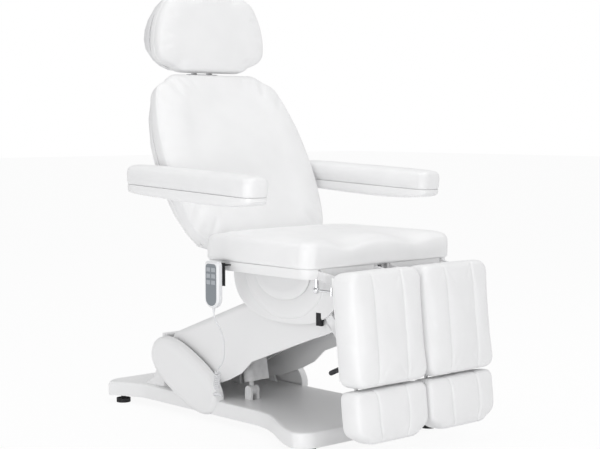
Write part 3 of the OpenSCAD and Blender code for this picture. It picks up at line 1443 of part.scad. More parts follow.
// Hook: a plate behind the handset with an arm to the seat pan
hook_x = handset_back + slip;
module handset_hook() {
  black() {
    translate([hook_x, hook_y - hook_w / 2, hook_top - hook_h]) cube([hook_t, hook_w, hook_h]);
    translate([hook_x, hook_y - hook_w / 2, hook_top - 3 * hook_t])
      cube([-pan_half - hook_x, hook_w, hook_t]);
  }
}
hook_y = 112;

// Cord of the hand control. Gland at the side cover's front tip
cord_exit = [-207, 289, 97];
gland_len = 26;
gland_r = 6;
tail_route = [[-207, 289, 97], [-208, 280, 98], [-211, 266, 97], [-219, 255, 99], [-228, 254, 105],
  [-236, 260, 112], [-240, 262, 119], [-241, 260, 124]];
coil_bottom = [-241, 260, 124];
coil_top = [-262, 226, 194];
lead_route = [[-262, 226, 194], [-263, 223, 200], [-266, 212, 209], [-271, 196, 219], [-279, 178, 234],
  [-288, 162, 253], [-297, 149, 275], [-305, 140, 298], [-316, 134, 322], [-328, 131, 346], [-345, 130, 370],
  [-354, 130, 390], [-355, 130, 402]];
coil_r = 8.8;
curls = 9;
cord_sides = 8;
curl_rings = 8;
curl_sides = 6;
function unit(v) = v / norm(v);
function tangent(path, i) = unit(path[min(i + 1, len(path) - 1)] - path[max(i - 1, 0)]);
function square_to(t, up) = unit(up - (up * t) * t);
// A tube swept along points, its rings square to the path
module tube(path, r, sides) {
  ups = [1, 0, 0];
  loft_rings = [for (i = [len(path) - 1:-1:0])
    let (t = tangent(path, i), a = square_to(t, ups), b = cross(t, a))
      [for (k = [0:sides - 1]) path[i] + r * (cos(360 * k / sides) * a + sin(360 * k / sides) * b)]];
  loft(loft_rings);
}
module cord_tail() { white() tube(tail_route, cord_d / 2, cord_sides); }
module cord_lead() { white() tube(lead_route, cord_d / 2, cord_sides); }
coil_axis = unit(coil_top - coil_bottom);
coil_len = norm(coil_top - coil_bottom);
coil_a = square_to(coil_axis, [1, 0, 0]);
coil_b = cross(coil_axis, coil_a);
coil_straight = cord_d;
// The helix opens out from its axis and closes onto it again
function curl_point(x) =
  let (turn = x * curls, open = smooth(turn / 0.75) * smooth((curls - turn) / 0.75),
     along = coil_straight + (coil_len - 2 * coil_straight) * x)
    coil_bottom + coil_axis * along + coil_r * open * (cos(360 * turn) * coil_a + sin(360 * turn) * coil_b);
coil_route = concat([coil_bottom + slip * coil_axis],
  [for (i = [0:curls * curl_rings]) curl_point(i / (curls * curl_rings))],
  [coil_top - slip * coil_axis]);
module curly_cord() { white() tube(coil_route, cord_d / 2, curl_sides); }
coil_gap = min([for (i = [0:len(coil_route) - 1]) for (j = [i + curl_rings - 3:1:len(coil_route) - 1])
  norm(coil_route[i] - coil_route[j])]) - cord_d;
echo(least_gap_of_the_curly_cord = coil_gap);
module cord_gland() {
  white() difference() {
    translate(cord_exit) rotate([-90, 0, 0])
      cylinder(r1 = cord_d / 2 + 1, r2 = gland_r, h = gland_len, $fn = 24);
    translate(cord_exit - [0, over, 0]) y_pin(cord_d / 2 + slip, over + slip, $fn = 24);
  }
}

base_cover();
base_frame();
levelling_feet();
side_covers();
power_unit();
cover_screws();
cord_gland();
lift_motor();
lift_rod();
arm_frame();
arm_cover();
parallel_link();
carriage_frame();
carriage_covers();
bump_stops();
tilt_motor();
tilt_rod();
seat_frame();
seat_pan();
seat_cushion();
seat_discs();
handset_hook();
back_motor();
back_rod();
back_frame();
back_shell();
back_cushion();
head_posts();
head_shell();
head_cushion();
armrest_shell(1);  // armrest_shell_left
armrest_shell(-1);  // armrest_shell_right
armrest_pad(1);  // armrest_pad_left
armrest_pad(-1);  // armrest_pad_right
leg_yoke(1);  // leg_yoke_left
leg_yoke(-1);  // leg_yoke_right
calf_board(1);  // calf_board_left
calf_board(-1);  // calf_board_right
calf_cushion(1);  // calf_cushion_left
calf_cushion(-1);  // calf_cushion_right
foot_board(1);  // foot_board_left
foot_board(-1);  // foot_board_right
foot_cushion(1);  // foot_cushion_left
foot_cushion(-1);  // foot_cushion_right
leg_lever(1);  // leg_lever_left
leg_lever(-1);  // leg_lever_right
leg_clamps();
clamp_screw(1);  // clamp_screw_left
clamp_screw(-1);  // clamp_screw_right
handset_case();
keypad();
key_cap(1);  // key_1
key_cap(2);  // key_2
key_cap(3);  // key_3
key_cap(4);  // key_4
key_cap(5);  // key_5
key_cap(6);  // key_6
cord_tail();
curly_cord();
cord_lead();
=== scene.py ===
import bpy
import bmesh
import math
import numpy as np
from mathutils import Vector, Matrix, noise


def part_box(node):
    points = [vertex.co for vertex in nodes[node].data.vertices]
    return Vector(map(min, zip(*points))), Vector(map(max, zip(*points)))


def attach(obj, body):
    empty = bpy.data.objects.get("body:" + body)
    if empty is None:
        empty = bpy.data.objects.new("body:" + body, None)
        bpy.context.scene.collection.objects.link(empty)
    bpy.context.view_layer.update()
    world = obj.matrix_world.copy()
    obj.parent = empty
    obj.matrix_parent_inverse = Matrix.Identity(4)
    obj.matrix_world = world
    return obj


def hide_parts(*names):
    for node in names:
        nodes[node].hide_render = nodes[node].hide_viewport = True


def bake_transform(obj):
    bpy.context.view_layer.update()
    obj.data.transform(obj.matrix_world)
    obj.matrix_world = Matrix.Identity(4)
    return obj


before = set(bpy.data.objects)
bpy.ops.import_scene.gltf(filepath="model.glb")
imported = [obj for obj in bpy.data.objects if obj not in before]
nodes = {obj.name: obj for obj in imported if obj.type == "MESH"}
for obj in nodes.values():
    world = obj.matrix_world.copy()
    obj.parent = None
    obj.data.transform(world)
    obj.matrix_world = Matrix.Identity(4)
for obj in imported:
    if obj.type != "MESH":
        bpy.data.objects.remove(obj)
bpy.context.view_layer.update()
scene = bpy.context.scene

# Side-view places are given in millimetres from the seat's reference line, as in the model
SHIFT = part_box("base_cover")[0].y + 0.256


def at(x, y, z):
    return Vector((x / 1000, y / 1000 + SHIFT, z / 1000))


def leaning(y, z, lean):
    """Local frame with +Y up a part and +Z out of its face, as a matrix in metres."""
    s, c = math.sin(math.radians(lean)), math.cos(math.radians(lean))
    m = Matrix(((1, 0, 0, 0), (0, s, -c, 0), (0, c, s, 0), (0, 0, 0, 1)))
    m.translation = at(0, y, z)
    return m


def smooth(x):
    c = min(1.0, max(0.0, x))
    return c * c * (3 - 2 * c)


# Camera

camera = bpy.data.objects.new("camera", bpy.data.cameras.new("camera"))
scene.collection.objects.link(camera)
camera.location = at(-3074, -3241, 1001)
camera.rotation_euler = (math.radians(85.74), 0, math.radians(-42.47))
camera.data.sensor_width = 36
camera.data.lens = 83.28
camera.data.clip_start = 0.05
camera.data.clip_end = 60
scene.camera = camera
scene.view_settings.view_transform = "Standard"


# Materials

class Shader:
    """A principled material with its node tree at hand."""

    def __init__(self, name, color, rough=0.5, metallic=0.0, **sockets):
        self.m = bpy.data.materials.new(name)
        self.m.use_nodes = True
        self.t = self.m.node_tree
        self.b = self.t.nodes["Principled BSDF"]
        self.b.inputs["Base Color"].default_value = (*color, 1)
        self.b.inputs["Roughness"].default_value = rough
        self.b.inputs["Metallic"].default_value = metallic
        for key, value in sockets.items():
            self.b.inputs[key.replace("_", " ")].default_value = value
        self.m.diffuse_color = (*color, 1)
        self.where = self.node("ShaderNodeTexCoord").outputs["Object"]
        self.bump_in = None

    def node(self, kind, **values):
        n = self.t.nodes.new(kind)
        for key, value in values.items():
            if hasattr(n, key):
                setattr(n, key, value)
            else:
                n.inputs[key.replace("_", " ")].default_value = value
        return n

    def link(self, a, b):
        self.t.links.new(a, b)

    def scaled(self, x, y, z, turn=(0, 0, 0)):
        n = self.node("ShaderNodeMapping")
        n.inputs["Scale"].default_value = (x, y, z)
        n.inputs["Rotation"].default_value = turn
        self.link(self.where, n.inputs["Vector"])
        return n.outputs["Vector"]

    def noise(self, scale, detail=3.0, rough=0.5, vector=None, distortion=0.0):
        n = self.node("ShaderNodeTexNoise", Scale=scale, Detail=detail, Roughness=rough,
                      Distortion=distortion)
        self.link(vector or self.where, n.inputs["Vector"])
        return n.outputs["Fac"]

    def cells(self, scale, feature="F1", vector=None, randomness=1.0):
        n = self.node("ShaderNodeTexVoronoi", Scale=scale, Randomness=randomness)
        n.feature = feature
        self.link(vector or self.where, n.inputs["Vector"])
        return n.outputs["Distance"]

    def ramp(self, fac, stops):
        n = self.node("ShaderNodeValToRGB")
        e = n.color_ramp.elements
        while len(e) < len(stops):
            e.new(0.5)
        for el, (p, c) in zip(e, stops):
            el.position = p
            el.color = (*c, 1) if len(c) == 3 else c
        self.link(fac, n.inputs["Fac"])
        return n.outputs["Color"]

    def range(self, fac, low, high, a=0.0, b=1.0):
        n = self.node("ShaderNodeMapRange")
        n.inputs["From Min"].default_value = a
        n.inputs["From Max"].default_value = b
        n.inputs["To Min"].default_value = low
        n.inputs["To Max"].default_value = high
        self.link(fac, n.inputs["Value"])
        return n.outputs["Result"]

    def color(self, out):
        self.link(out, self.b.inputs["Base Color"])
        return self

    def roughness(self, out):
        self.link(out, self.b.inputs["Roughness"])
        return self

    def bump(self, height, strength, distance):
        n = self.node("ShaderNodeBump", Strength=strength, Distance=distance)
        self.link(height, n.inputs["Height"])
        if self.bump_in is not None:
            self.link(self.bump_in, n.inputs["Normal"])
        self.bump_in = n.outputs["Normal"]
        self.link(self.bump_in, self.b.inputs["Normal"])
        return self


def tone(c, f):
    return tuple(min(1.0, x * f) for x in c)


def leather(name, c, seed=0.0):
    s = Shader(name, c, 0.42, Specular_IOR_Level=0.42, Coat_Weight=0.06, Coat_Roughness=0.35)
    pebbles = s.cells(820, "SMOOTH_F1", s.scaled(1, 1, 0.9))
    fine = s.noise(2600, 2)
    wide = s.noise(9 + seed, 3)
    folds = s.noise(46, 4, 0.55, s.scaled(1, 0.55, 1.0), 0.6)
    s.color(s.ramp(wide, [(0.3, tone(c, 0.972)), (0.62, c)]))
    s.roughness(s.range(s.noise(30, 3), 0.36, 0.5, 0.3, 0.7))
    s.bump(folds, 0.07, 0.003)
    s.bump(pebbles, 0.22, 0.0005)
    s.bump(fine, 0.08, 0.0002)
    return s.m


def moulded(name, c, rough=0.34, coat=0.12, orange=0.03):
    s = Shader(name, c, rough, Specular_IOR_Level=0.45, Coat_Weight=coat, Coat_Roughness=0.28)
    wide = s.noise(2.2, 2)
    s.color(s.ramp(wide, [(0.3, tone(c, 0.992)), (0.7, c)]))
    s.roughness(s.range(s.noise(6, 3), rough - 0.015, rough + 0.03, 0.3, 0.7))
    s.bump(s.noise(420, 2), orange, 0.0002)
    return s.m


def coated(name, c, rough=0.5):
    s = Shader(name, c, rough, Specular_IOR_Level=0.45)
    s.color(s.ramp(s.noise(14, 3), [(0.3, tone(c, 0.8)), (0.7, tone(c, 1.25))]))
    s.roughness(s.range(s.noise(60, 3), rough - 0.06, rough + 0.1, 0.3, 0.7))
    s.bump(s.noise(900, 3, 0.6), 0.18, 0.0004)
    return s.m


def polished(name, c, rough=0.1):
    s = Shader(name, c, rough, 1.0)
    s.color(s.ramp(s.noise(20, 2), [(0.3, tone(c, 0.93)), (0.7, c)]))
    s.roughness(s.range(s.noise(120, 4, 0.6), rough * 0.7, rough * 1.9, 0.35, 0.75))
    s.bump(s.noise(1400, 2), 0.03, 0.0002)
    return s.m


def rubber(name, c, rough=0.62):
    s = Shader(name, c, rough, Specular_IOR_Level=0.35)
    s.color(s.ramp(s.noise(50, 4), [(0.3, tone(c, 0.7)), (0.7, tone(c, 1.5))]))
    s.roughness(s.range(s.noise(80, 3), rough - 0.08, rough + 0.12, 0.3, 0.7))
    s.bump(s.cells(1500), 0.25, 0.0003)
    return s.m


WHITE_LEATHER = leather("white_leather", (0.885, 0.885, 0.888))
WHITE_LEATHER_B = leather("white_leather_pads", (0.87, 0.87, 0.874), 2.0)
WHITE_PLASTIC = moulded("white_moulding", (0.885, 0.885, 0.888))
# A darker grey copy of the white moulding for the head shell: painted shade standing in for the shade that
# falls on the head shell
WHITE_PLASTIC_PAINTED_SHADE = moulded("white_moulding_painted_shade", (0.80, 0.802, 0.81), 0.34, 0.12)
CASE_PLASTIC = moulded("case_moulding", (0.84, 0.846, 0.86), 0.32, 0.1)
CORD_SHEATH = moulded("cord_sheath", (0.80, 0.805, 0.82), 0.4, 0.0, 0.02)
FRAME_COAT = coated("frame_coating", (0.028, 0.029, 0.033))
MOTOR_COAT = coated("motor_housing", (0.045, 0.046, 0.05), 0.42)
PALE_COAT = coated("pale_coating", (0.74, 0.74, 0.745), 0.45)
GREY_COAT = coated("grey_housing", (0.66, 0.66, 0.665), 0.45)
ROD_STEEL = polished("bright_rod", (0.74, 0.745, 0.76), 0.14)
CHROME = polished("chrome", (0.86, 0.865, 0.88), 0.07)
RUBBER = rubber("black_rubber", (0.018, 0.018, 0.02))
GRIP = rubber("grip_rubber", (0.022, 0.022, 0.025), 0.5)
PANEL = moulded("key_panel", (0.24, 0.262, 0.285), 0.42, 0.0, 0.03)
KEYS = moulded("key_caps", (0.42, 0.445, 0.475), 0.4, 0.0, 0.03)

NODE_MATERIALS = {
    "base_cover": WHITE_PLASTIC, "side_covers": WHITE_PLASTIC, "arm_cover": WHITE_PLASTIC,
    "carriage_covers": WHITE_PLASTIC, "seat_discs": WHITE_PLASTIC, "seat_pan": WHITE_PLASTIC,
    # The head shell takes the darker copy of the white moulding, which is painted shade
    "back_shell": WHITE_PLASTIC, "head_shell": WHITE_PLASTIC_PAINTED_SHADE,
    "armrest_shell_left": WHITE_PLASTIC, "armrest_shell_right": WHITE_PLASTIC,
    "base_frame": PALE_COAT, "arm_frame": PALE_COAT, "carriage_frame": PALE_COAT,
    "seat_frame": PALE_COAT, "back_frame": FRAME_COAT,
    "calf_board_left": WHITE_PLASTIC, "calf_board_right": WHITE_PLASTIC,
    "power_unit": MOTOR_COAT, "lift_motor": GREY_COAT, "tilt_motor": MOTOR_COAT, "back_motor": MOTOR_COAT,
    "cover_screws": MOTOR_COAT, "cord_gland": CORD_SHEATH,
    "lift_rod": ROD_STEEL, "tilt_rod": ROD_STEEL, "back_rod": ROD_STEEL,
    "parallel_link": PALE_COAT, "leg_yoke_left": PALE_COAT, "leg_yoke_right": PALE_COAT,
    "foot_board_left": WHITE_PLASTIC, "foot_board_right": WHITE_PLASTIC,
    "head_posts": CHROME, "leg_clamps": CHROME, "clamp_screw_left": CHROME, "clamp_screw_right": CHROME,
    "levelling_feet": RUBBER, "bump_stops": RUBBER, "handset_hook": RUBBER,
    "leg_lever_left": GRIP, "leg_lever_right": GRIP,
    "handset_case": CASE_PLASTIC, "keypad": PANEL,
}
for i in range(1, 7):
    NODE_MATERIALS["key_%d" % i] = KEYS


LOFTED = ("armrest_shell_left", "armrest_shell_right", "back_shell", "head_shell", "seat_pan", "arm_cover",
          "side_covers")


def finish_node(name, material, split=32.0):
    """Gives a carried-over solid its material and smooth shading up to its real edges."""
    o = nodes[name]
    o.data.materials.clear()
    o.data.materials.append(material)
    o.data.polygons.foreach_set("use_smooth", [True] * len(o.data.polygons))
    weld = o.modifiers.new("weld", "WELD")
    weld.merge_threshold = 0.00002
    flat = o.modifiers.new("flat", "DECIMATE")
    flat.decimate_type = "DISSOLVE"
    flat.angle_limit = math.radians(0.5)
    e = o.modifiers.new("split", "EDGE_SPLIT")
    e.split_angle = math.radians(split)
    w = o.modifiers.new("normals", "WEIGHTED_NORMAL")
    w.mode = "FACE_AREA"
    w.weight = 60


for name, material in NODE_MATERIALS.items():
    if name in nodes:
        finish_node(name, material, 46.0 if name in LOFTED else 32.0)


# Hinge lines and half sizes of the cushions, in millimetres, and leans in degrees
SEAT_HALF = (325, 251)
SEAT_UNDER = 563
BACK_PIN, BACK_LEAN, BACK_HALF = (285, 560), 26.7, (320, 320)
HEAD_PIN, HEAD_LEAN, HEAD_HALF = (630.765, 1158.45), 2, (235, 150)
ARM_X, ARM_PIN, ARM_DIP, ARM_HALF = 382, (444.298, 787.704), 2.2, (50, 315)
ARM_BEHIND = 62
LEG_PIN, LEG_LEAN, LEG_X = (-315, 535), 6.4, 153
CALF_HALF, FOOT_HALF = (150, 170), (150, 80)
LEG_SEAMS = (-0.5, 0.42)
SEAM_WIDE = 4.2
OVER_BOARD = 0.6


# Cushions

def hermite(table, v):
    """A smooth line through a table of [place, value]."""
    n = len(table)
    if v <= table[0][0]:
        return table[0][1]
    if v >= table[-1][0]:
        return table[-1][1]
    i = max(k for k in range(n - 1) if table[k][0] <= v)
    (x0, y0), (x1, y1) = table[i], table[i + 1]

    def slope(k):
        if k == 0 or k == n - 1:
            a, b = (0, 1) if k == 0 else (n - 2, n - 1)
            return (table[b][1] - table[a][1]) / (table[b][0] - table[a][0])
        return (table[k + 1][1] - table[k - 1][1]) / (table[k + 1][0] - table[k - 1][0])

    h = x1 - x0
    t = (v - x0) / h
    return ((2 * t ** 3 - 3 * t ** 2 + 1) * y0 + (t ** 3 - 2 * t ** 2 + t) * h * slope(i)
            + (-2 * t ** 3 + 3 * t ** 2) * y1 + (t ** 3 - t ** 2) * h * slope(i + 1))


def round_in(u, v, half_x, half_y, corner):
    """How far a point on the square's rim is drawn in for corners of this radius."""
    rx, ry = corner / half_x, corner / half_y
    u, v = abs(u), abs(v)
    if u <= 1 - rx or v <= 1 - ry:
        return 1.0
    a = (u / rx) ** 2 + (v / ry) ** 2
    b = u * (1 - rx) / rx ** 2 + v * (1 - ry) / ry ** 2
    c = ((1 - rx) / rx) ** 2 + ((1 - ry) / ry) ** 2 - 1
    return min(1.0, (b + math.sqrt(max(0.0, b * b - a * c))) / a)


def pad_plan(half_x, half_y, corner, waist=0.0, table=None, top_corner=None):
    def plan(u, v, inset):
        m = max(abs(u), abs(v), 1e-6)
        radius = (top_corner or corner) if v > 0 else corner
        wide = half_x * (hermite(table, v) if table else 1.0)
        g = round_in(u / m, v / m, wide, half_y, radius)
        g = 1 + (g - 1) * smooth((m - 0.45) / 0.55)
        return ((wide - inset) * u * g - waist * u * (1 - v * v) * (0.6 + 0.4 * abs(u) ** 8),
                (half_y - inset) * v * g)

    return plan


def stations(step, half, marks=()):
    """Even stations from -1 to 1 with closer rows beside each seam."""
    n = max(6, int(round(2 * half / step)))
    base = [-1 + 2 * i / n for i in range(n + 1)]
    near = 9.0 / half
    base = [b for b in base if all(abs(b - m) > near for m in marks)]
    for m in marks:
        base += [m + d / half for d in (-7.5, -2.6, 0, 2.6, 7.5)]
    return sorted(base)


# Side of a cushion from its top edge down, as (share of the edge drawn in, share of the height)
SIDE = [(1.0, 1.0), (0.6, 0.985), (0.29, 0.93), (0.1, 0.85), (0.0, 0.73), (-0.015, 0.56), (0.0, 0.4),
        (0.03, 0.24), (0.09, 0.11), (0.17, 0.03), (0.28, 0.0)]


def cushion_mesh(name, us, vs, plan, top, edge, rows, smaller):
    """A closed cushion in its own frame, in metres, and what each vertex is for."""
    nu, nv = len(us), len(vs)
    loop = ([(i, 0) for i in range(nu)] + [(nu - 1, j) for j in range(1, nv)]
            + [(i, nv - 1) for i in range(nu - 2, -1, -1)] + [(0, j) for j in range(nv - 2, 0, -1)])
    co, kind = [], []
    for j, v in enumerate(vs):
        for i, u in enumerate(us):
            x, y = plan(u, v, edge + smaller)
            co.append((x, y, top(u, v) - smaller))
            kind.append(("top", u, v))
    n = len(loop)
    for share, height in rows[1:]:
        for i, j in loop:
            u, v = us[i], vs[j]
            x, y = plan(u, v, share * edge + smaller)
            co.append((x, y, height * (top(u, v) - smaller)))
            kind.append(("side", u, v, height))
    under = len(co)
    for j in range(1, nv - 1):
        for i in range(1, nu - 1):
            x, y = plan(us[i], vs[j], rows[-1][0] * edge + smaller)
            co.append((x, y, 0.0))
            kind.append(("under", us[i], vs[j]))
    faces = []
    grid = lambda i, j: j * nu + i
    for j in range(nv - 1):
        for i in range(nu - 1):
            faces.append((grid(i, j), grid(i + 1, j), grid(i + 1, j + 1), grid(i, j + 1)))
    ring0 = [grid(i, j) for i, j in loop]
    for k in range(len(rows) - 1):
        ring1 = [nu * nv + k * n + m for m in range(n)]
        for m in range(n):
            a, b = ring0[m], ring0[(m + 1) % n]
            c, d = ring1[m], ring1[(m + 1) % n]
            faces.append((a, c, d, b))
        ring0 = ring1
    last = {loop[m]: ring0[m] for m in range(n)}

    def low(i, j):
        if (i, j) in last:
            return last[(i, j)]
        return under + (j - 1) * (nu - 2) + (i - 1)

    for j in range(nv - 1):
        for i in range(nu - 1):
            faces.append((low(i, j), low(i, j + 1), low(i + 1, j + 1), low(i + 1, j)))
    mesh = bpy.data.meshes.new(name)
    mesh.from_pydata([tuple(c / 1000 for c in p) for p in co], [], faces)
    mesh.update()
    return mesh, kind


def coordinates(mesh):
    co = np.empty(len(mesh.vertices) * 3)
    mesh.vertices.foreach_get("co", co)
    return co.reshape(-1, 3)


def set_coordinates(mesh, co):
    mesh.vertices.foreach_set("co", np.asarray(co, float).ravel())
    mesh.update()


def evaluated_mesh(o):
    dg = bpy.context.evaluated_depsgraph_get()
    return bpy.data.meshes.new_from_object(o.evaluated_get(dg), depsgraph=dg)


def inflate(o, held, pressure, cap, frames=20):
    """Blows the cushion up as sewn cloth and keeps each point within cap of where it was."""
    start = coordinates(o.data)
    group = o.vertex_groups.new(name="held")
    group.add([int(i) for i in held], 1.0, "ADD")
    c = o.modifiers.new("cloth", "CLOTH")
    c.settings.quality = 5
    c.settings.mass = 0.3
    c.settings.tension_stiffness = 15
    c.settings.compression_stiffness = 15
    c.settings.shear_stiffness = 8
    c.settings.bending_stiffness = 0.6
    c.settings.use_pressure = True
    c.settings.uniform_pressure_force = pressure
    c.settings.vertex_group_mass = "held"
    c.settings.effector_weights.gravity = 0
    c.collision_settings.use_collision = False
    c.collision_settings.use_self_collision = False
    c.point_cache.frame_start = 1
    c.point_cache.frame_end = frames
    for f in range(1, frames + 1):
        scene.frame_set(f)
    blown = evaluated_mesh(o)
    end = coordinates(blown)
    bpy.data.meshes.remove(blown)
    o.modifiers.clear()
    o.vertex_groups.clear()
    scene.frame_set(1)
    move = end - start
    size = np.linalg.norm(move, axis=1)
    keep = cap * np.tanh(size / cap) / np.maximum(size, 1e-9)
    set_coordinates(o.data, start + move * keep[:, None])


def subdivided(o, levels=1):
    s = o.modifiers.new("subdivision", "SUBSURF")
    s.levels = s.render_levels = levels
    s.subdivision_type = "CATMULL_CLARK"
    fresh = evaluated_mesh(o)
    old = o.data
    o.modifiers.clear()
    o.data = fresh
    bpy.data.meshes.remove(old)
    fresh.polygons.foreach_set("use_smooth", [True] * len(fresh.polygons))


def normals_of(mesh):
    n = np.empty(len(mesh.vertices) * 3)
    mesh.vertex_normals.foreach_get("vector", n)
    return n.reshape(-1, 3)


def upholster(name, node, body, place, plan, top, edge, half_x, half_y, step=9.0, seams_u=(), seams_v=(),
              seam_deep=3.2, rim_seams=(), pressure=4.0, cap=9.0, smaller=3.0, pucker=0.0,
              mirror=False, material=None, rows=SIDE, fill=0.85, rim_deep=2.2):
    us, vs = stations(step, half_x, seams_u), stations(step, half_y, seams_v)
    mesh, kind = cushion_mesh(name, us, vs, plan, top, edge, rows, smaller)
    co = coordinates(mesh)
    rest = co.copy()
    normal = normals_of(mesh)
    deep = np.zeros(len(kind))
    on_seam = np.zeros(len(kind), bool)
    for k, what in enumerate(kind):
        if what[0] == "under":
            continue
        u, v = what[1], what[2]
        height = what[3] if what[0] == "side" else 1.0
        fade = smooth((height - 0.1) / 0.25)
        for s in seams_u:
            d = abs(u - s) * half_x
            if what[0] == "top" or abs(v) > 0.999:
                deep[k] = max(deep[k], fade * seam_deep * math.exp(-(d / SEAM_WIDE) ** 2))
                on_seam[k] |= d < 0.5 and fade > 0.5
        for s in seams_v:
            d = abs(v - s) * half_y
            if what[0] == "top" or abs(u) > 0.999:
                deep[k] = max(deep[k], fade * seam_deep * math.exp(-(d / SEAM_WIDE) ** 2))
                on_seam[k] |= d < 0.5 and fade > 0.5
        if what[0] == "side":
            for h in rim_seams:
                if abs(height - h) < 0.002:
                    deep[k] = max(deep[k], rim_deep)
                    on_seam[k] = True
    co = co - normal * (deep / 1000)[:, None]
    set_coordinates(mesh, co)
    o = bpy.data.objects.new(name, mesh)
    scene.collection.objects.link(o)
    held = [k for k, w in enumerate(kind)
            if w[0] == "under" or (w[0] == "side" and w[3] < 0.05) or on_seam[k]]
    inflate(o, held, pressure, cap / 1000)
    if pucker > 0:
        # short creases that run out from the seams
        co, normal = coordinates(mesh), normals_of(mesh)
        lift = np.zeros(len(kind))
        for k, what in enumerate(kind):
            if what[0] == "under":
                continue
            for s in seams_u:
                d = (what[1] - s) * half_x
                if abs(d) > 40 or what[0] == "side" and abs(what[2]) < 0.999:
                    continue
                along = rest[k][1] * 1000
                wave = noise.noise(Vector((along / 11.0, s * 17.0 + math.copysign(3.0, d), 0.37)))
                lift[k] += pucker * wave * math.exp(-abs(d) / 15.0) * (1 - math.exp(-(d / 3.0) ** 2))
        set_coordinates(mesh, co + normal * (lift / 1000)[:, None])
    # Pulled tight, the cover reaches the full size of its board
    co = coordinates(mesh)
    for k, full in ((0, half_x), (1, half_y)):
        co[:, k] *= (full + OVER_BOARD) / 1000 / np.abs(co[:, k]).max()
    set_coordinates(mesh, co)
    if mirror:
        co = coordinates(mesh)
        co[:, 0] *= -1
        set_coordinates(mesh, co)
        mesh.flip_normals()
    o.data.transform(place)
    subdivided(o, 1)
    o.data.materials.append(material or WHITE_LEATHER)
    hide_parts(node)
    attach(o, body)
    return o


def rows_with(marks):
    """The side rows with a closer pair of rows beside each seam that runs round the cushion."""
    rows = list(SIDE)
    for h in marks:
        i = max(k for k in range(len(SIDE)) if SIDE[k][1] >= h)
        (s0, h0), (s1, h1) = SIDE[i], SIDE[i + 1]
        for d in (-0.035, 0, 0.035):
            t = (h + d - h0) / (h1 - h0)
            rows.append((s0 + (s1 - s0) * t, h + d))
    rows.sort(key=lambda r: (-r[1], -r[0]) if r[1] > 0.5 else (-r[1], r[0]))
    return rows


# Seat: two thigh troughs from the front edge
SEAT_MID = (233 - 269) / 2


def seat_top(u, v):
    dip = 17 * smooth((0.35 - v) / 1.2) * math.exp(-1.3 * ((abs(u) - 0.46) / 0.24) ** 2)
    return 80 + 10 * (1 - u ** 4) * (1 - v ** 6) - dip


seat_place = Matrix.Translation(at(0, SEAT_MID, SEAT_UNDER))
upholster("seat_pad", "seat_cushion", "seat", seat_place,
          pad_plan(*SEAT_HALF, 46, 4), seat_top, 20, *SEAT_HALF,
          step=9.5, pressure=3.0, cap=5, smaller=2, fill=0.95)

# Back: raised side bolsters
BACK_WIDTH = [(-1, 0.83), (-0.7, 0.93), (-0.35, 0.99), (-0.05, 1), (0.3, 0.975), (0.6, 0.91), (0.85, 0.82),
              (1, 0.72)]


def back_top(u, v):
    return (60 + 8 * math.exp(-((abs(u) - 0.8) / 0.16) ** 2) * (1 - v ** 8) - 3 * (1 - u * u) * (1 - v * v))


back_place = leaning(*BACK_PIN, BACK_LEAN) @ Matrix.Translation((0, (26 + BACK_HALF[1]) / 1000, -0.027))
upholster("back_pad", "back_cushion", "back", back_place,
          pad_plan(*BACK_HALF, 70, 0, BACK_WIDTH), back_top, 24, *BACK_HALF, step=9.5,
          pressure=3.0, cap=4.5, smaller=2, rows=rows_with((0.8,)), rim_seams=(0.8,), rim_deep=1.6, fill=0.95)

# Head
HEAD_WIDTH = [(-1, 0.8), (-0.75, 0.95), (-0.45, 1), (-0.1, 0.99), (0.25, 0.93), (0.6, 0.8), (0.85, 0.66),
              (1, 0.52)]


def head_top(u, v):
    return 68 + 6 * (1 - u ** 4) * (1 - v ** 4)


head_place = leaning(*HEAD_PIN, HEAD_LEAN) @ Matrix.Translation((0, (9 + HEAD_HALF[1]) / 1000, 0.010))
upholster("head_pad", "head_cushion", "head", head_place,
          pad_plan(*HEAD_HALF, 70, 0, HEAD_WIDTH), head_top, 24, *HEAD_HALF, step=7.5,
          pressure=3.0, cap=3.5, smaller=2, rows=rows_with((0.45,)), rim_seams=(0.45,), fill=0.9)


# Armrests
def arm_top(u, v):
    return 59 + 5 * (1 - u * u)


def armrest_place(side, up):
    """The middle of an armrest's length, this far in millimetres over its pin."""
    dip = Matrix.Rotation(math.radians(ARM_DIP), 4, "X")
    return (Matrix.Translation(at(side * ARM_X, *ARM_PIN)) @ dip
            @ Matrix.Translation((0, (ARM_BEHIND - ARM_HALF[1]) / 1000, up / 1000)))


LEFT_RIGHT = ((1, "left"), (-1, "right"))
for side, tag in LEFT_RIGHT:
    place = armrest_place(side, 6.3)
    upholster("armrest_%s_pad" % tag, "armrest_pad_" + tag, "armrest_" + tag, place,
              pad_plan(*ARM_HALF, 30), arm_top, 16, *ARM_HALF, step=6.5, pressure=4.0, cap=4, smaller=1.5,
              material=WHITE_LEATHER_B, fill=0.9)

# Leg rests
FOOT_WIDTH = [(-1, 0.86), (-0.6, 0.97), (-0.2, 1), (1, 1)]


def calf_top(u, v):
    return 88 + 7 * (1 - u ** 4) * (1 - v ** 6)


def foot_top(u, v):
    return 77 + 7 * (1 - u ** 4) * (1 - v ** 4)


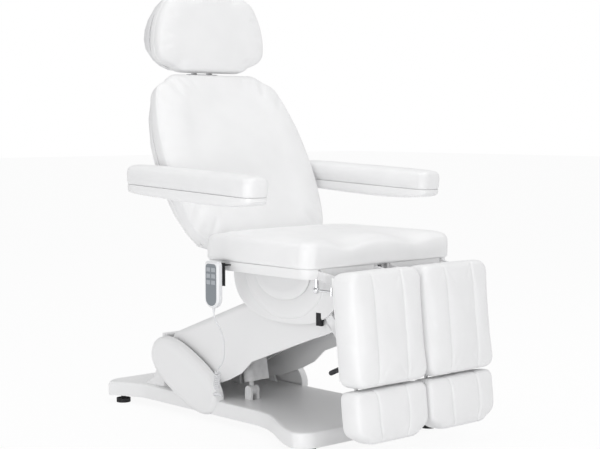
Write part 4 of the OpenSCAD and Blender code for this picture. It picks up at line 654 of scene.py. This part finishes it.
for side, tag in LEFT_RIGHT:
    leg = leaning(*LEG_PIN, LEG_LEAN) @ Matrix.Translation((side * LEG_X / 1000, 0, 0))
    upholster("calf_%s_pad" % tag, "calf_cushion_" + tag, "leg_" + tag,
              leg @ Matrix.Translation((0, (22 - CALF_HALF[1]) / 1000, 0.031)),
              pad_plan(*CALF_HALF, 34, 2, None, 35), calf_top, 16, *CALF_HALF, step=7.0, seams_u=LEG_SEAMS,
              seam_deep=3.0, pressure=3.0, cap=3.5, smaller=1.5, pucker=0.5, mirror=side > 0,
              material=WHITE_LEATHER_B, fill=0.9)
    upholster("foot_%s_pad" % tag, "foot_cushion_" + tag, "foot_" + tag,
              leg @ Matrix.Translation((0, (22 - 334 - 20 - 72.5) / 1000, 0.030)),
              pad_plan(*FOOT_HALF, 52, 0, FOOT_WIDTH, 20), foot_top, 15, *FOOT_HALF, step=6.5,
              seams_u=LEG_SEAMS, seam_deep=2.8, pressure=3.0, cap=3.0, smaller=1.5, pucker=0.4,
              mirror=side > 0, material=WHITE_LEATHER_B, fill=0.9)


# Moulded pieces fuller than the plain solids

def closed_piece(name, co, faces, material, body):
    """A rigid piece from points in metres, smooth up to its edges."""
    mesh = bpy.data.meshes.new(name)
    mesh.from_pydata([tuple(c) for c in co], [], faces)
    b = bmesh.new()
    b.from_mesh(mesh)
    bmesh.ops.recalc_face_normals(b, faces=b.faces)
    b.to_mesh(mesh)
    b.free()
    mesh.polygons.foreach_set("use_smooth", [True] * len(mesh.polygons))
    mesh.materials.append(material)
    o = bpy.data.objects.new(name, mesh)
    scene.collection.objects.link(o)
    e = o.modifiers.new("split", "EDGE_SPLIT")
    e.split_angle = math.radians(38)
    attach(o, body)
    return o


def swept(loops, caps=True):
    """Points and faces of a skin over a row of closed loops."""
    n = len(loops[0])
    co = [p for loop in loops for p in loop]
    faces = [(i * n + k, i * n + (k + 1) % n, (i + 1) * n + (k + 1) % n, (i + 1) * n + k)
             for i in range(len(loops) - 1) for k in range(n)]
    if caps:
        faces.append(tuple(range(n - 1, -1, -1)))
        faces.append(tuple((len(loops) - 1) * n + k for k in range(n)))
    return co, faces


MOON_TOP = 528
MOON_MID = -15
RING_HALF, RING_DEEP = 163, 122
DISC_HALF, DISC_DEEP = 110, 66
RING_LOW, DISC_LOW = 188.4, 198.4


def moon_band(name, side, half, deep, profile, low_x, body):
    """A half-moon's edge, its section given as [offset from the outline, distance from the middle]."""
    loops = []
    for k in range(65):
        a = math.pi * (1 + k / 64)
        section = [(o, x) for o, x in profile] + [(profile[-1][0] - 1, low_x), (profile[0][0], low_x)]
        loops.append([at(side * x, MOON_MID + (half + o) * math.cos(a), MOON_TOP + (deep + o) * math.sin(a))
                      for o, x in section])
    co, faces = swept(loops)
    return closed_piece(name, co, faces, WHITE_PLASTIC, body)


def round_over(o0, x0, o1, x1, steps=8):
    """Quarter round from a flat face down to its foot."""
    turns = [math.pi / 2 * t / steps for t in range(steps + 1)]
    return [(o0 + (o1 - o0) * math.sin(w), x1 + (x0 - x1) * math.cos(w)) for w in turns]


RING_BAND = [(-48, 194.4), (-40, 195.2), (-28, 196.6), (-16, 197.6)] + round_over(-8, 197.8, 24, 188.2, 12)
DISC_BAND = [(-60, 202.7), (-40, 203.4), (-24, 204.2), (-12, 204.6)] + round_over(-8, 205.0, 19, 198.4, 12)
for side, tag in LEFT_RIGHT:
    moon_band("moon_band_" + tag, side, RING_HALF, RING_DEEP, RING_BAND, RING_LOW, "carriage")
    moon_band("disc_band_" + tag, side, DISC_HALF, DISC_DEEP, DISC_BAND, DISC_LOW, "seat")

# Armrest shells: full side walls with a rounded lower edge
TUB = [(-1, 0.3), (-0.985, 0.45), (-0.95, 0.6), (-0.88, 0.72), (-0.75, 0.84), (-0.55, 0.94),
       (-0.25, 1), (0.1, 0.98), (0.4, 0.93), (0.7, 0.88), (0.88, 0.82), (0.95, 0.74), (0.985, 0.6),
       (1, 0.45)]
for side, tag in LEFT_RIGHT:
    place = armrest_place(side, 6)
    loops = []
    for v, share in TUB:
        half = 47 * (1 - 0.32 * abs(v) ** 40 - 0.1 * abs(v) ** 12)
        deep = 37 * share
        right = [(half, 0), (half, -0.3 * deep), (0.995 * half, -0.55 * deep), (0.97 * half, -0.74 * deep),
                 (0.91 * half, -0.88 * deep), (0.8 * half, -0.96 * deep), (0.55 * half, -deep)]
        loop = right + [(-x, z) for x, z in reversed(right)]
        loops.append([place @ Vector((x / 1000, v * 0.312, z / 1000)) for x, z in loop])
    co, faces = swept(loops)
    tub = closed_piece("armrest_%s_tub" % tag, co, faces, WHITE_PLASTIC, "armrest_" + tag)
    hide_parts("armrest_shell_" + tag)


# Cord of the hand control
CORD = 0.0045


def tube_mesh(name, path, radius, sides):
    """A mesh tube along points, with closed ends."""
    co, faces = [], []
    n = len(path)
    up = Vector((1, 0, 0))
    for i, p in enumerate(path):
        t = (path[min(i + 1, n - 1)] - path[max(i - 1, 0)]).normalized()
        a = (up - t * up.dot(t)).normalized()
        up = a
        b = t.cross(a)
        for k in range(sides):
            w = 2 * math.pi * k / sides
            co.append(p + radius * (math.cos(w) * a + math.sin(w) * b))
    for i in range(n - 1):
        for k in range(sides):
            a, b = i * sides + k, i * sides + (k + 1) % sides
            faces.append((a, b, b + sides, a + sides))
    faces.append(tuple(range(sides - 1, -1, -1)))
    faces.append(tuple((n - 1) * sides + k for k in range(sides)))
    mesh = bpy.data.meshes.new(name)
    mesh.from_pydata([tuple(c) for c in co], [], faces)
    mesh.polygons.foreach_set("use_smooth", [True] * len(mesh.polygons))
    mesh.materials.append(CORD_SHEATH)
    o = bpy.data.objects.new(name, mesh)
    scene.collection.objects.link(o)
    return o


def curve_through(points, per_span=6):
    """Catmull-Rom curve through points."""
    pts = [points[0] * 2 - points[1]] + list(points) + [points[-1] * 2 - points[-2]]
    out = []
    for i in range(1, len(pts) - 2):
        p0, p1, p2, p3 = pts[i - 1:i + 3]
        for k in range(per_span):
            t = k / per_span
            out.append(0.5 * (2 * p1 + (p2 - p0) * t + (2 * p0 - 5 * p1 + 4 * p2 - p3) * t * t
                              + (3 * p1 - p0 - 3 * p2 + p3) * t ** 3))
    out.append(pts[-2])
    return out


TAIL = [(-207, 289, 97), (-208, 280, 98), (-211, 266, 97), (-219, 255, 99), (-228, 254, 105),
        (-236, 260, 112), (-240, 262, 119), (-241, 260, 124)]
LEAD = [(-262, 226, 194), (-263, 223, 200), (-266, 212, 209), (-271, 196, 219), (-279, 178, 234),
        (-288, 162, 253), (-297, 149, 275), (-305, 140, 298), (-316, 134, 322), (-328, 131, 346),
        (-345, 130, 370), (-354, 130, 390), (-355, 130, 402)]
tail_path = curve_through([at(*p) for p in TAIL])
lead_path = curve_through([at(*p) for p in LEAD])
low, high = at(-241, 260, 124), at(-262, 226, 194)
axis = (high - low).normalized()
side_a = (Vector((1, 0, 0)) - axis * axis.x).normalized()
side_b = axis.cross(side_a)
CURLS, COIL_R, STRAIGHT = 9, 0.0088, 0.0045
coil_len = (high - low).length


def curl_point(x):
    turn = x * CURLS
    opened = smooth(turn / 0.75) * smooth((CURLS - turn) / 0.75)
    along = STRAIGHT + (coil_len - 2 * STRAIGHT) * x
    w = 2 * math.pi * turn
    return low + axis * along + COIL_R * opened * (math.cos(w) * side_a + math.sin(w) * side_b)


RINGS = 24
coil_path = [low] + [curl_point(i / (CURLS * RINGS)) for i in range(CURLS * RINGS + 1)] + [high]
half_way = 1 + CURLS * RINGS // 2

tail = tube_mesh("cord_tail_piece", tail_path, CORD / 2, 12)
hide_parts("cord_tail")
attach(tail, "base")

lower_half = tube_mesh("curly_cord_lower", coil_path[:half_way + 1], CORD / 2, 10)
upper_half = tube_mesh("curly_cord_upper", coil_path[half_way:], CORD / 2, 10)
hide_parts("curly_cord")
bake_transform(lower_half)
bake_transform(upper_half)

split = 9 * 6
lead_low = tube_mesh("cord_lead_lower", lead_path[:split + 1], CORD / 2, 12)
lead_high = tube_mesh("cord_lead_upper", lead_path[split:], CORD / 2, 12)
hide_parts("cord_lead")
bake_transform(lead_low)
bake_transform(lead_high)


# Floor, backdrop and light

def staged(name, mesh, material):
    mesh.materials.append(material)
    o = bpy.data.objects.new(name, mesh)
    scene.collection.objects.link(o)
    return o


def floor_material():
    m = bpy.data.materials.new("floor")
    m.use_nodes = True
    t = m.node_tree
    t.nodes.clear()
    out = t.nodes.new("ShaderNodeOutputMaterial")
    diffuse = t.nodes.new("ShaderNodeBsdfDiffuse")
    coord = t.nodes.new("ShaderNodeTexCoord")
    grain = t.nodes.new("ShaderNodeTexNoise")
    grain.inputs["Scale"].default_value = 3.0
    tint = t.nodes.new("ShaderNodeValToRGB")
    tint.color_ramp.elements[0].color = (0.90, 0.90, 0.905, 1)
    tint.color_ramp.elements[1].color = (0.93, 0.93, 0.935, 1)
    glow = t.nodes.new("ShaderNodeEmission")
    glow.inputs["Color"].default_value = (1, 1, 1, 1)
    glow.inputs["Strength"].default_value = 1.0
    mix = t.nodes.new("ShaderNodeMixShader")
    path = t.nodes.new("ShaderNodeLightPath")
    most = t.nodes.new("ShaderNodeMath")
    most.operation = "MAXIMUM"
    more = t.nodes.new("ShaderNodeMath")
    more.operation = "MAXIMUM"
    share = t.nodes.new("ShaderNodeMath")
    share.operation = "MULTIPLY"
    share.inputs[1].default_value = 0.93
    t.links.new(coord.outputs["Object"], grain.inputs["Vector"])
    t.links.new(grain.outputs["Fac"], tint.inputs["Fac"])
    t.links.new(tint.outputs["Color"], diffuse.inputs["Color"])
    t.links.new(path.outputs["Is Camera Ray"], most.inputs[0])
    t.links.new(path.outputs["Is Glossy Ray"], most.inputs[1])
    t.links.new(most.outputs[0], more.inputs[0])
    t.links.new(path.outputs["Is Transmission Ray"], more.inputs[1])
    t.links.new(more.outputs[0], share.inputs[0])
    t.links.new(share.outputs[0], mix.inputs["Fac"])
    t.links.new(diffuse.outputs[0], mix.inputs[1])
    t.links.new(glow.outputs[0], mix.inputs[2])
    t.links.new(mix.outputs[0], out.inputs["Surface"])
    return m


floor = bpy.data.meshes.new("floor")
floor.from_pydata([(-30, -30, 0), (30, -30, 0), (30, 30, 0), (-30, 30, 0)], [], [(0, 1, 2, 3)])
staged("floor", floor, floor_material()).location.z = -0.0005

world = bpy.data.worlds.new("studio")
scene.world = world
world.use_nodes = True
t = world.node_tree
t.nodes.clear()
out = t.nodes.new("ShaderNodeOutputWorld")
ambient = t.nodes.new("ShaderNodeBackground")
ambient.inputs["Color"].default_value = (0.996, 0.998, 1.0, 1)
ambient.inputs["Strength"].default_value = 0.61
white = t.nodes.new("ShaderNodeBackground")
white.inputs["Color"].default_value = (1, 1, 1, 1)
white.inputs["Strength"].default_value = 1.0
mix = t.nodes.new("ShaderNodeMixShader")
path = t.nodes.new("ShaderNodeLightPath")
t.links.new(path.outputs["Is Camera Ray"], mix.inputs["Fac"])
t.links.new(ambient.outputs[0], mix.inputs[1])
t.links.new(white.outputs[0], mix.inputs[2])
t.links.new(mix.outputs[0], out.inputs["Surface"])


def lamp(name, place, target, size, power, color=(1, 1, 1)):
    data = bpy.data.lights.new(name, "AREA")
    data.shape = "RECTANGLE"
    data.size, data.size_y = size
    data.energy = power
    data.color = color
    o = bpy.data.objects.new(name, data)
    scene.collection.objects.link(o)
    o.location = place
    o.rotation_mode = "QUATERNION"
    o.rotation_quaternion = (Vector(target) - Vector(place)).to_track_quat("-Z", "Y")
    return o


lamp("key", (-1.2, -3.8, 3.2), (0, 0, 0.7), (2.4, 2.4), 38)
lamp("top", (0.2, 0.3, 4.2), (0, 0, 0.6), (3.0, 3.0), 42)
lamp("side", (3.8, -1.2, 1.6), (0, 0, 0.6), (2.2, 2.2), 8)
lamp("low", (-3.4, -1.9, 0.55), (0, 0, 0.3), (2.6, 1.0), 32)
